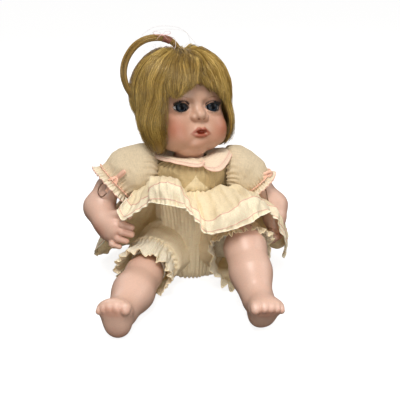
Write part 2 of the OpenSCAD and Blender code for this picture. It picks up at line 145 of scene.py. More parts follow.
def new_mesh(name, verts, faces, material, body=None, col=None, fields=None):
    """Mesh object from points in millimetres and an array of quads or triangles, or a list of both."""
    verts = np.asarray(verts, float) * MM
    groups = [np.asarray(f) for f in (faces if isinstance(faces, list) else [faces]) if len(f)]
    m = bpy.data.meshes.new(name)
    m.vertices.add(len(verts))
    m.vertices.foreach_set("co", verts.ravel())
    loops = np.concatenate([g.ravel() for g in groups])
    sizes = np.concatenate([np.full(len(g), g.shape[1]) for g in groups])
    m.loops.add(len(loops))
    m.loops.foreach_set("vertex_index", loops.astype(np.int32))
    m.polygons.add(len(sizes))
    m.polygons.foreach_set("loop_start", (np.cumsum(sizes) - sizes).astype(np.int32))
    m.polygons.foreach_set("use_smooth", np.full(len(sizes), True))
    m.update(calc_edges=True)
    m.validate()
    if col is not None:
        a = m.color_attributes.new("tone", "FLOAT_COLOR", "POINT")
        c = np.ones((len(verts), 4), np.float32)
        c[:, :3] = col
        a.data.foreach_set("color", c.ravel())
    for key, val in (fields or {}).items():
        m.attributes.new(key, "FLOAT", "POINT").data.foreach_set("value", np.asarray(val, np.float32))
    o = bpy.data.objects.new(name, m)
    bpy.context.scene.collection.objects.link(o)
    m.materials.append(material)
    if body:
        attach(o, body)
    return o


def grid_faces(rows, cols, wrap_cols=False):
    r = np.arange(rows - 1)
    c = np.arange(cols if wrap_cols else cols - 1)
    r, c = np.meshgrid(r, c, indexing="ij")
    r1, c1 = r + 1, (c + 1) % cols
    return np.stack([r * cols + c, r * cols + c1, r1 * cols + c1, r1 * cols + c], -1).reshape(-1, 4)


def tube(path, radius, sides=10, cap=True, up=(0, 0, 1), flat=1.0):
    """Round or oval tube along a path; radius may vary along it."""
    p = np.asarray(path, float)
    r = np.interp(np.linspace(0, 1, len(p)), np.linspace(0, 1, np.size(radius)), np.atleast_1d(radius))
    _, s, u = frames(p, up)
    a = around(sides)[None, :]
    v = p[:, None] + r[:, None,
                       None] * (np.cos(a)[..., None] * s[:, None] + flat * np.sin(a)[..., None] * u[:, None])
    v = v.reshape(-1, 3)
    f = [grid_faces(len(p), sides, wrap_cols=True)]
    if cap:
        v = np.vstack([v, p[0], p[-1]])
        i = np.arange(sides)
        j = (i + 1) % sides
        e = (len(p) - 1) * sides
        f.append(np.stack([j, i, np.full(sides, len(v) - 2)], 1))
        f.append(np.stack([e + i, e + j, np.full(sides, len(v) - 1)], 1))
    return v, f


def join(parts):
    """Several (points, face groups) as one."""
    vs, fs, n = [], [], 0
    for v, f in parts:
        vs.append(v)
        fs += [np.asarray(g) + n for g in (f if isinstance(f, list) else [f])]
        n += len(v)
    return np.vstack(vs), fs


def strands(roots_to_tips, width):
    """Fine tapered hairs: an array (hair, step, 3) of points becomes three-sided tapering spikes."""
    P = np.asarray(roots_to_tips, float)
    n, k, _ = P.shape
    t = unit(np.gradient(P, axis=1))
    s = unit(np.cross(t, [0.13, -0.31, 0.94]))
    u = np.cross(t, s)
    v = np.stack([P + width[..., None] * (math.cos(a) * s + math.sin(a) * u) for a in (0.5, 2.6, 4.7)],
                 2).reshape(-1, 3)
    base = (np.arange(n) * k * 3)[:, None, None]
    i = np.arange(k - 1)[None, :, None] * 3
    j = np.arange(3)[None, None, :]
    j1 = (j + 1) % 3
    f = np.stack([base + i + j, base + i + j1, base + i + 3 + j1, base + i + 3 + j], -1).reshape(-1, 4)
    return v, f


# ---------------------------------------------------------------- signed distances

def s_min(a, b, k):
    h = np.clip(0.5 + 0.5 * (b - a) / k, 0, 1)
    return b + (a - b) * h - k * h * (1 - h)


def s_max(a, b, k):
    return -s_min(-a, -b, k)


def d_ball(p, c, r):
    return np.linalg.norm(p - np.asarray(c, float), axis=-1) - r


def d_egg(p, c, r, rot=None):
    q = p - np.asarray(c, float)
    if rot is not None:
        q = q @ rot
    r = np.asarray(r, float)
    k0 = np.linalg.norm(q / r, axis=-1)
    k1 = np.linalg.norm(q / (r * r), axis=-1)
    return k0 * (k0 - 1) / np.maximum(k1, 1e-9)


def d_cone(p, a, b, ra, rb):
    """Capsule whose radius changes from a to b."""
    a, b = np.asarray(a, float), np.asarray(b, float)
    ab = b - a
    t = np.clip((p - a) @ ab / (ab @ ab), 0, 1)
    return np.linalg.norm(p - a - t[..., None] * ab, axis=-1) - (ra + (rb - ra) * t)


def gradient(f, p, e=0.15):
    g = np.stack([f(p + d) - f(p - d) for d in np.eye(3) * e], -1)
    return g / (2 * e)


BLOCK = 8  # cells along one side of the blocks that are left out when no surface passes through them


def surface(f, low, high, h):
    """Mesh of f = 0 inside a box, on a grid of spacing h, from dual points pulled onto the surface."""
    low = np.asarray(low, float)
    n = (np.ceil((np.asarray(high, float) - low) / (h * BLOCK)).astype(int)) * BLOCK
    cb = [np.arange(k // BLOCK) for k in n]
    centre = low + (np.stack(np.meshgrid(*cb, indexing="ij"), -1) + 0.5) * BLOCK * h
    near = np.abs(f(centre.reshape(-1, 3))).reshape(centre.shape[:3]) < BLOCK * h * 1.25
    big = np.where(f(centre.reshape(-1, 3)).reshape(centre.shape[:3]) < 0, -9.0, 9.0)
    F = np.kron(big, np.ones((BLOCK, BLOCK, BLOCK)))
    F = np.pad(F, ((0, 1),) * 3, mode="edge")
    mask = np.pad(np.kron(near, np.ones((BLOCK,) * 3, bool)), ((0, 1),) * 3, mode="edge")
    for ax in range(3):
        mask = mask | np.roll(mask, 1, ax)
    ijk = np.argwhere(mask)
    F[mask] = np.concatenate([f(low + c * h) for c in np.array_split(ijk, max(1, len(ijk) // 200000))])
    S = F < 0
    shape = tuple(k - 1 for k in F.shape)
    cnt = np.zeros(shape, np.int8)
    for d in itertools.product((0, 1), repeat=3):
        cnt += S[d[0]:d[0] + shape[0], d[1]:d[1] + shape[1], d[2]:d[2] + shape[2]]
    act = (cnt > 0) & (cnt < 8)
    cells = np.argwhere(act)
    index = np.full(shape, -1, np.int64)
    index[act] = np.arange(len(cells))
    P, W = np.zeros((len(cells), 3)), np.zeros(len(cells))
    val = {d: F[cells[:, 0] + d[0], cells[:, 1] + d[1],
                cells[:, 2] + d[2]] for d in itertools.product((0, 1), repeat=3)}
    for a in val:
        for ax in range(3):
            if a[ax] == 0:
                b = tuple(1 if k == ax else a[k] for k in range(3))
                m = (val[a] < 0) != (val[b] < 0)
                t = np.clip(val[a][m] / (val[a][m] - val[b][m]), 0, 1)
                P[m] += np.array(a) + t[:, None] * (np.array(b) - np.array(a))
                W[m] += 1
    v = low + (cells + P / W[:, None]) * h
    faces = []
    for ax in range(3):
        o1, o2 = [k for k in range(3) if k != ax]
        sl = [slice(None)] * 3
        sl2 = [slice(None)] * 3
        sl[ax], sl2[ax] = slice(0, -1), slice(1, None)
        cross = S[tuple(sl)] != S[tuple(sl2)]
        e = np.argwhere(cross)
        e = e[(e[:, o1] > 0) & (e[:, o2] > 0) & (e[:, o1] < F.shape[o1] - 1) & (e[:, o2] < F.shape[o2] - 1)]
        flip = S[e[:, 0], e[:, 1], e[:, 2]]
        quad = []
        for d1, d2 in ((-1, -1), (0, -1), (0, 0), (-1, 0)):
            c = e.copy()
            c[:, o1] += d1
            c[:, o2] += d2
            quad.append(index[c[:, 0], c[:, 1], c[:, 2]])
        q = np.stack(quad, 1)
        if ax == 1:
            flip = ~flip
        q[~flip] = q[~flip][:, ::-1]
        faces.append(q)
    q = np.vstack(faces)
    q = q[(q >= 0).all(1)]
    for _ in range(3):
        d = f(v)
        g = gradient(f, v)
        step = (d / np.maximum((g * g).sum(1), 0.2))[:, None] * g
        v = v - np.clip(step, -h * 0.6, h * 0.6)
    return v, q


# ---------------------------------------------------------------- materials

class Nodes:
    """A material's node tree, built with short calls."""

    def __init__(self, name):
        self.m = bpy.data.materials.new(name)
        self.m.use_nodes = True
        self.t = self.m.node_tree
        self.b = next(n for n in self.t.nodes if n.type == "BSDF_PRINCIPLED")

    def add(self, kind, inputs=None, **props):
        n = self.t.nodes.new(kind)
        for k, v in props.items():
            setattr(n, k, v)
        for k, v in (inputs or {}).items():
            if isinstance(v, bpy.types.NodeSocket):
                self.t.links.new(v, n.inputs[k])
            else:
                n.inputs[k].default_value = v
        return n

    def set(self, **values):
        for k, v in values.items():
            s = self.b.inputs[k.replace("_", " ")]
            if isinstance(v, bpy.types.NodeSocket):
                self.t.links.new(v, s)
            else:
                s.default_value = v

    def attr(self, name):
        return self.add("ShaderNodeAttribute", attribute_name=name)

    def noise(self, scale, detail=3.0, rough=0.5, stretch=(1, 1, 1)):
        c = self.add("ShaderNodeTexCoord")
        mp = self.add("ShaderNodeMapping", {"Vector": c.outputs["Object"], "Scale": stretch})
        return self.add("ShaderNodeTexNoise", {"Vector": mp.outputs[0], "Scale": scale, "Detail": detail,
                                              "Roughness": rough}).outputs["Fac"]

    def math(self, op, a, b=0.0, c=0.0):
        return self.add("ShaderNodeMath", {0: a, 1: b, 2: c}, operation=op).outputs[0]

    def mixc(self, fac, a, b, blend="MIX"):
        n = self.add("ShaderNodeMix", data_type="RGBA", blend_type=blend)
        for s, v in (("Factor", fac), ("A", a), ("B", b)):
            sock = next(i for i in n.inputs if i.name == s and i.enabled)
            if isinstance(v, bpy.types.NodeSocket):
                self.t.links.new(v, sock)
            else:
                sock.default_value = v if s == "Factor" else (*v, 1) if len(v) == 3 else v
        return next(o for o in n.outputs if o.enabled)

    def ramp(self, fac, stops):
        n = self.add("ShaderNodeValToRGB", {"Fac": fac})
        e = n.color_ramp.elements
        while len(e) > 1:
            e.remove(e[-1])
        for i, (pos, c) in enumerate(stops):
            el = e[0] if i == 0 else e.new(pos)
            el.position = pos
            el.color = (*c, 1) if len(c) == 3 else c
        return n.outputs["Color"]

    def bump(self, height, strength, distance):
        bump = self.add("ShaderNodeBump",
                        {"Height": height, "Strength": strength, "Distance": distance}).outputs[0]
        self.set(Normal=bump)
        return bump


def plain(name, colour, roughness, **more):
    """Material of one colour; more names further sockets of its shader."""
    n = Nodes(name)
    n.set(Base_Color=(*colour, 1), Roughness=roughness, **more)
    return n.m


# ---------------------------------------------------------------- head

NECK = V(-2, -10, 120)
HEAD_TURN = turn((0, 0, 1), 18) @ turn((1, 0, 0), -12)
HEAD_AT = V(-2.5, -10, 108.3)
EYE_Z = 58.7
ROLL = turn((0, 1, 0), 4.5)


def to_world(p):
    """Face coordinates (middle of the face on x = 0, looking to -y) to the doll's own."""
    q = (np.asarray(p, float) - V(0, 0, EYE_Z)) @ ROLL.T + V(1.3, 0, EYE_Z)
    return q @ HEAD_TURN.T + HEAD_AT


EYE_X, EYE_Y, EYE_R = 15.3, -23.9, 8.2


def mirror(p):
    """Folds the left half onto the right, so that one shape makes both sides."""
    q = np.array(p, float)
    q[..., 0] = np.abs(q[..., 0])
    return q


LID_R, LID_H = 8.7, 4.1  # arcs of both lids: their radius, and how far each stands from the eye's middle


def eye_hole(p):
    """Almond opening between the lids, as a distance in the face's plane."""
    x, z = np.abs(p[..., 0]) - EYE_X, p[..., 2] - EYE_Z
    up = np.hypot(x, z - (LID_H - LID_R)) - LID_R
    dn = np.hypot(x, z + (LID_H - LID_R)) - LID_R
    return s_max(up, dn, 0.4)


def lean(p):
    """The nose and mouth sit a little to one side of the middle between the eyes."""
    q = np.array(p, float)
    z = q[..., 2]
    low = smooth(50, 43, z) * smooth(22, 30, z)
    q[..., 0] -= 1.3 * smooth(60, 52, z) * smooth(18, 30, z) + 1.1 * low
    q[..., 2] += 1.5 * low
    return q


def d_face(p):
    p = lean(p)
    m = mirror(p)
    d = d_egg(p, (0, 5, 70), (36.5, 39, 35))
    d = s_min(d, d_egg(p, (0, -9, 71), (29, 24.5, 23)), 8)
    d = s_min(d, d_egg(p, (0, -8, 53), (30.5, 25.0, 25)), 7)
    d = s_min(d, d_egg(m, (16.0, -14.5, 40.5), (16.5, 18.3, 16)), 7)
    d = s_min(d, d_egg(p, (0, -11, 35), (26, 20.5, 17)), 7)
    d = s_min(d, d_egg(m, (13.5, -12.5, 32.0), (16.5, 18.0, 13.5)), 6)
    d = s_min(d, d_egg(p, (0, -22.5, 38.5), (11, 13.2, 9.5)), 6)
    # socket beside the nose, lids over the eyeball
    d = s_max(d, -d_egg(m, (8.5, -34.5, 59.5), (4.5, 4.2, 4.5)), 5)
    d = s_max(d, -d_egg(m, (15.5, -36.5, 53.2), (9, 3.6, 3.0)), 4)
    d = s_min(d, d_ball(m, (EYE_X, EYE_Y, EYE_Z), EYE_R + 1.15), 3.2)
    # chin, and the fold under it
    d = s_min(d, d_egg(p, (0, -24.8, 26.8), (9.5, 8.6, 7.6)), 4.5)
    d = s_min(d, d_egg(p, (0, -15.5, 20.5), (15, 12.5, 7.5)), 1.6)
    # nose
    d = s_min(d, d_cone(p, (0, -25.6, 62), (0, -31.8, 55.0), 3.0, 4.4), 5.5)
    d = s_min(d, d_egg(p, (0, -35.3, 52.0), (5.0, 5.0, 4.6)), 2.6)
    d = s_min(d, d_egg(m, (5.3, -33.0, 50.0), (3.5, 3.9, 3.2)), 1.7)
    d = s_max(d, -d_egg(m, (2.75, -38.4, 47.9), (1.25, 1.9, 1.1)), 0.7)
    # lips round a small open mouth
    hollow = d_cone(p, (0, -37.6, 46), (0, -38.0, 42.6), 1.0, 1.3)
    d = s_max(d, -hollow, 1.6)
    lip = d_cone(m, (2.4, -34.8, 40.6), (9.0, -32.6, 36.6), 2.3, 1.0)
    d = s_min(d, lip, 0.9)
    d = s_min(d, d_cone(p, (0, -35.0, 40.3), (0, -34.0, 41.5), 1.5, 1.2), 0.8)
    low = d_egg(p, (0, -33.6, 34.8), (6.2, 3.2, 2.5))
    d = s_min(d, s_min(low, d_cone(m, (4.4, -33.5, 35.2), (8.8, -32.6, 36.3), 1.7, 0.8), 1), 0.9)
    d = s_max(d, -d_egg(p, (0, -36.0, 38.1), (4.9, 5.0, 2.0)), 0.8)
    d = s_max(d, -d_cone(m, (0, -37.0, 31.2), (4.0, -36.0, 32.2), 2.0, 1.5), 2.2)
    # eyes
    d = s_max(d, -np.maximum(eye_hole(p), p[..., 1] + 22), 0.5)
    d = np.maximum(d, -d_ball(m, (EYE_X, EYE_Y, EYE_Z), EYE_R + 0.05))
    return d


def d_neck(q):
    """Neck and its flange in the doll's own coordinates, upright under the head."""
    r = np.hypot(q[..., 0] - NECK[0], q[..., 1] - NECK[1])
    flare = 13.9 + 3.0 * smooth(126, 138, q[..., 2])
    return np.maximum(r - flare, np.abs(q[..., 2] - 124) - 14.5)


def d_head(p):
    return s_min(d_face(p), d_neck(to_world(p)), 2.5)


SKIN = srgb(221, 184, 166)
# The head is coloured darker and warmer than the limbs: partly its own bisque tone, partly painted shade of
# the hair over the face and of the light falling from above.
HEAD_TONE_AND_SHADE = srgb(206, 165, 142)
BLUSH = srgb(182, 108, 80)
LIP = srgb(164, 82, 60)


def bell(p, c, r):
    q = (p - np.asarray(c, float)) / np.asarray(r, float)
    return np.exp(-(q * q).sum(-1))


def skin_material():
    n = Nodes("bisque")
    t = n.attr("tone").outputs["Color"]
    speck = n.noise(900, 2)
    fine = n.ramp(speck, [(0.3, (0.94, 0.94, 0.94)), (0.7, (1.03, 1.02, 1.0))])
    n.set(Base_Color=n.mixc(1.0, t, fine, "MULTIPLY"), Roughness=0.42, IOR=1.5, Subsurface_Weight=0.12,
          Subsurface_Radius=(0.9, 0.45, 0.3), Subsurface_Scale=0.0016, Coat_Weight=0.18, Coat_Roughness=0.3)
    n.bump(n.noise(1500, 2), 0.06, 0.0002)
    return n.m


BISQUE = skin_material()


def build_head():
    v, f = surface(d_head, (-41, -45, 2), (41, 48, 108), 0.72)
    w = to_world(v)
    v = lean(v)
    m = mirror(v)
    # base colour: the head's own tone with its painted shade
    c = np.tile(HEAD_TONE_AND_SHADE, (len(v), 1))
    k = bell(m, (23.5, -27, 42), (10.5, 14, 10)) * 0.8 + 0.25 * bell(m, (16, -30, 34), (12, 10, 10))
    k = k + 0.30 * bell(p=v, c=(0, -34, 26), r=(11, 9, 6)) + 0.25 * bell(v, (0, -16, 17), (20, 18, 7))
    k = k + 0.22 * bell(m, (6.5, -35, 48), (3.5, 4, 3)) + 0.25 * bell(m, (15, -30, 65.5), (8, 6, 2.4))
    c = mix(c, BLUSH, np.clip(k, 0, 0.9)[:, None])
    lid = np.clip(1 - np.abs(eye_hole(v)) / 1.5, 0, 1) * (v[:, 1] < -24) * (v[:, 2] > EYE_Z - 1)
    c = mix(c, srgb(120, 72, 58), (0.55 * lid)[:, None])
    edge = np.clip(1 - np.abs(eye_hole(v) + 0.2) / 0.7, 0, 1) * (v[:, 1] < -22)
    c = mix(c, srgb(40, 24, 22), (0.75 * edge)[:, None])
    up = np.minimum(d_cone(m, (2.5, -35.4, 40.3), (9.5, -32.8, 36.4), 2.2, 0.8),
                    d_egg(v, (0, -36, 40.0), (3, 3, 1.8)))
    lo = np.minimum(d_egg(v, (0, -34, 34.8), (6.0, 4.4, 2.2)),
                    d_cone(m, (4.4, -34, 35.3), (9.2, -33, 36.3), 1.6, 0.7))
    lips = smooth(0.55, -0.35, np.minimum(up, lo)) * (v[:, 1] < -29)
    c = mix(c, LIP, (0.92 * lips)[:, None])
    inner = smooth(0.5, -0.2, d_egg(v, (0, -35.0, 38.0), (4.0, 7.0, 1.7))) * (v[:, 1] < -26)
    c = mix(c, srgb(150, 52, 20), (0.95 * inner)[:, None])
    nostril = smooth(0.6, -0.1, d_egg(m, (2.75, -38.2, 47.9), (1.25, 1.9, 1.0)))
    c = mix(c, srgb(120, 50, 30), (0.85 * nostril)[:, None])
    head = new_mesh("head", w, f, BISQUE, "head", c)
    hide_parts("head_shell")
    return head


def build_eyes():
    n = Nodes("eye_glass")
    rad, ang = n.attr("rad").outputs["Fac"], n.attr("ang").outputs["Fac"]
    spokes = n.add("ShaderNodeTexNoise",
                   {"Vector": n.add("ShaderNodeCombineXYZ", {"X": ang, "Y": rad}).outputs[0],
                                          "Scale": 9.0, "Detail": 3.0}).outputs["Fac"]
    fib = n.ramp(spokes, [(0.3, (0.45, 0.5, 0.6)), (0.75, (1.5, 1.5, 1.5))])
    # Colour by distance from the eye's middle: black pupil, dark iris rings, then the white, which darkens
    # and reddens towards the rim as painted shade of the lids over the eyeball.
    ring = n.ramp(rad, [(0.0, (0.004, 0.004, 0.005)), (0.27, (0.004, 0.004, 0.005)),
                        (0.31, (0.006, 0.009, 0.013)),
                        (0.45, (0.045, 0.060, 0.078)), (0.54, (0.006, 0.009, 0.014)),
                        (0.67, (0.003, 0.004, 0.006)),
                        (0.70, (0.55, 0.54, 0.55)), (0.82, (0.58, 0.55, 0.54)), (1.0, (0.45, 0.33, 0.30))])
    inside = n.math("LESS_THAN", rad, 0.68)
    n.set(Base_Color=n.mixc(n.math("MULTIPLY", inside, 0.85), ring, n.mixc(1.0, ring, fib, "MULTIPLY")),
          Roughness=0.16, IOR=1.45, Specular_IOR_Level=0.12, Coat_Weight=0.15, Coat_Roughness=0.12)
    for side, s in (("right", -1), ("left", 1)):
        la, lo = np.linspace(0, np.pi * 0.62, 90), around(72)
        la, lo = np.meshgrid(la, lo, indexing="ij")
        rr = EYE_R - 0.1 + 0.5 * np.exp(-(la / 0.52) ** 4)
        p = np.stack([np.sin(la) * np.cos(lo), -np.cos(la), np.sin(la) * np.sin(lo)], -1) * rr[..., None]
        yaw = turn((0, 0, 1), 3.0 if s < 0 else -1.0) @ turn((1, 0, 0), -4.0)
        p = p @ yaw.T + V(s * EYE_X, EYE_Y, EYE_Z)
        rad_v = np.sin(la) * EYE_R / 8.2
        o = new_mesh(f"eye_{side}", to_world(p.reshape(-1, 3)), grid_faces(90, 72, wrap_cols=True), n.m,
                     "head",
                     fields={"rad": rad_v.ravel(), "ang": np.sin(lo).ravel() * 3})
        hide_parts(f"eyeball_{side}", f"iris_{side}", f"cornea_{side}")


def build_lashes():
    black = plain("lash", (0.006, 0.005, 0.005), 0.45)
    brown = plain("brow", srgb(140, 96, 70), 0.5)
    rng = np.random.default_rng(4)
    for side, s in (("right", -1), ("left", 1)):
        hairs = []
        for count, rad, cz, sign in ((100, LID_R, LID_H - LID_R, 1), (44, LID_R, LID_R - LID_H, -1)):
            a = np.linspace(-0.84, 0.84, count) + rng.normal(0, 0.01, count)
            x = EYE_X + rad * np.sin(a)
            z = EYE_Z + cz + sign * rad * np.cos(a)
            y = EYE_Y - np.sqrt(np.maximum((EYE_R + 0.9) ** 2 - (x - EYE_X) ** 2 - (z - EYE_Z) ** 2, 1))
            base = np.stack([x, y, z], 1)
            out = np.stack([np.sin(a) * 1.25, np.full(count, -1.05), sign * np.cos(a) * 0.75 + 0.2 * sign], 1)
            ln = (3.1 if sign > 0 else 1.9) * rng.uniform(0.75, 1.1,
                    count) * (0.75 + 0.35 * np.abs(np.sin(a)))
            t = np.linspace(0, 1, 7)[None, :, None]
            curl = V(0, 0, 1.0 * sign)
            p = base[:, None] + ln[:, None, None] * (t * unit(out)[:, None] * 0.85 + t ** 2 * curl * 0.42)
            thick = 0.27 if sign > 0 else 0.15
            hairs.append((p, thick * (1 - 0.85 * np.linspace(0, 1, 7))[None] * np.ones((count, 1))))
        parts = []
        for p, w in hairs:
            p = p.copy()
            p[..., 0] *= s
            parts.append(strands(to_world(p), w))
        # painted line along the lids
        for rad, cz, sign, wdt in ((LID_R - 0.15, LID_H - LID_R, 1, 0.85),
                                   (LID_R - 0.15, LID_R - LID_H, -1, 0.30)):
            a = np.linspace(-0.86, 0.86, 40)
            x, z = EYE_X + rad * np.sin(a), EYE_Z + cz + sign * rad * np.cos(a)
            y = EYE_Y - np.sqrt(np.maximum((EYE_R + 0.75) ** 2 - (x - EYE_X) ** 2 - (z - EYE_Z) ** 2, 1))
            wide = wdt * np.sin(np.linspace(0.15, np.pi - 0.15, 40)) ** 0.5
            parts.append(tube(to_world(np.stack([s * x, y, z], 1)), wide, 8))
        v, f = join(parts)
        o = new_mesh(f"lash_{side}", v, f, black, "head")
        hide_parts(f"lashes_{side}")
        # brow: one fine painted stroke lying on the forehead
        x = np.linspace(10.2, 22.0, 40)
        z = 67.0 + 1.3 * np.sin((x - 10.2) / 11.8 * np.pi * 0.9) - 0.6 * smooth(16, 22, x)
        p = np.stack([s * x, np.full(40, -36.0), z], 1)
        for _ in range(14):
            p[:, 1] += np.clip(d_face(p), -1, 1) * 0.9
        wdt = 0.20 * np.sin(np.linspace(0.1, np.pi - 0.05, 40)) ** 0.7 + 0.03
        v, f = tube(to_world(p), wdt, 6)
        o = new_mesh(f"brow_{side}", v, f, brown, "head")


# ---------------------------------------------------------------- wig

SCALP = [((1, 6, 68), 37), ((0, -9, 66), 25), ((13, -7, 42), 25), ((-13, -7, 42), 25), ((0, -14, 34), 18)]


def d_scalp(q):
    """The head's plain rounded form, in head coordinates."""
    d = None
    for i, j in ((0, 1), (0, 2), (0, 3), (1, 2), (1, 3), (2, 3), (3, 4), (2, 4), (0, 4)):
        e = d_cone(q, SCALP[i][0], SCALP[j][0], SCALP[i][1], SCALP[j][1])
        d = e if d is None else s_min(d, e, 5)
    return d


def head_world(q):
    return np.asarray(q, float) @ HEAD_TURN.T + HEAD_AT


def head_local(p):
    return (np.asarray(p, float) - HEAD_AT) @ HEAD_TURN


CROWN = head_local(V(-9, 12, 223))
SKULL = V(1, 6, 66)
FRINGE_X = [-34, -25, -17, -13, -7, -1, 4, 10.6, 19, 24, 28, 36]
FRINGE_Z = [62, 72, 71, 74, 77.5, 81, 79, 75, 72.5, 68, 62, 55]


def in_window(q, grow=0.0):
    """Space in front of the face that the hair leaves free."""
    return ((q[..., 0] > -28.8 - grow) & (q[..., 0] < 33.2 + grow) & (q[..., 1] < -7)
            & (q[..., 2] < np.interp(q[..., 0], FRINGE_X, FRINGE_Z)))


def onto(q, level):
    for _ in range(2):
        g = gradient(d_scalp, q, 0.4)
        q = q - (d_scalp(q) - level)[..., None] * g
    return q, unit(gradient(d_scalp, q, 0.4))


def comb(root, level, steps, pace, sway, seed):
    """Walks hairs down from their roots over the head. Returns every path, in head coordinates."""
    down = V(0, 0, -1) @ HEAD_TURN
    q, nrm = onto(root, 3.5 + 0 * level)
    path, normals = [q], [nrm]
    for i in range(steps):
        rad = unit(q - CROWN)
        rad = unit(rad - (rad * nrm).sum(-1, keepdims=True) * nrm)
        fall = down - (nrm @ down)[:, None] * nrm
        w = smooth(0.15, 0.85, np.linalg.norm(fall, axis=-1))[:, None]
        side = np.cross(nrm, rad)
        bend = value_noise(q / 13.0, seed) + 0.7 * value_noise(q / 6.0, seed + 1)
        d = unit(rad * (1 - 0.8 * w) + unit(fall) * w + side * (sway * bend)[:, None])
        q = q + d * pace
        rise = smooth(-0.02, 0.07, (i + 1) / steps)
        z = (q @ HEAD_TURN.T + HEAD_AT)[:, 2]
        full = 1.05 - 0.85 * smooth(172, 134, z) + 0.12 * smooth(176, 205, z)
        full = full * (1 - 0.5 * smooth(2, -14, q[:, 1]) * smooth(70, 54, q[:, 2]) * (q[:, 0] > 0))
        q, nrm = onto(q, mix(4.0, np.maximum(level * full, 1.9 + 0.08 * level), rise))
        path.append(q)
        normals.append(nrm)
    return np.stack(path, 1), np.stack(normals, 1)


def cut_paths(P, N, stop, k):
    """Resamples each path to k points, ending where stop says."""
    n, m, _ = P.shape
    t = np.linspace(0, 1, k)[None] * stop[:, None]
    i = np.clip(t.astype(int), 0, m - 2)
    f = (t - i)[..., None]
    r = np.arange(n)[:, None]
    return P[r, i] * (1 - f) + P[r, i + 1] * f, unit(N[r, i] * (1 - f) + N[r, i + 1] * f)


def hair_material():
    n = Nodes("wig_fibre")
    t = n.attr("tone").outputs["Color"]
    n.set(Base_Color=t, Roughness=0.30, IOR=1.55, Specular_IOR_Level=0.85,
          Specular_Tint=(*srgb(255, 240, 200), 1), Sheen_Weight=0.08)
    return n.m


LIGHT, MIDDLE, DARK = srgb(234, 202, 116), srgb(154, 119, 46), srgb(66, 45, 8)


def build_wig_base(mat):
    def cap(q):
        w = head_world(q)
        lift = 4.2 - 2.6 * smooth(172, 140, w[..., 2])
        d = np.abs(d_scalp(q) - lift) - 1.6
        fz = np.interp(q[..., 0], FRINGE_X, FRINGE_Z) + 5
        win = np.maximum(np.maximum(-30.5 - q[..., 0], q[..., 0] - 35),
                         np.maximum(q[..., 1] + 6, q[..., 2] - fz))
        return np.maximum(np.maximum(d, -win), 128.5 - w[..., 2])

    v, f = surface(cap, (-46, -44, 0), (48, 50, 114), 1.3)
    streak = value_noise(np.stack([np.arctan2(v[:, 1] - 8, v[:, 0]) * 18, v[:, 2] / 40, 0 * v[:, 0]], 1), 5)
    # Dark hair colour with random streaks, darker than most locks: painted shade of the hair lying deep under
    # the locks.
    col = mix(mix(DARK, MIDDLE, 0.35), MIDDLE * 0.85, (0.5 + 0.5 * streak)[:, None])
    o = new_mesh("wig_base", head_world(v), f, mat, "head", col)
    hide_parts("wig_cap", "crown_pate")


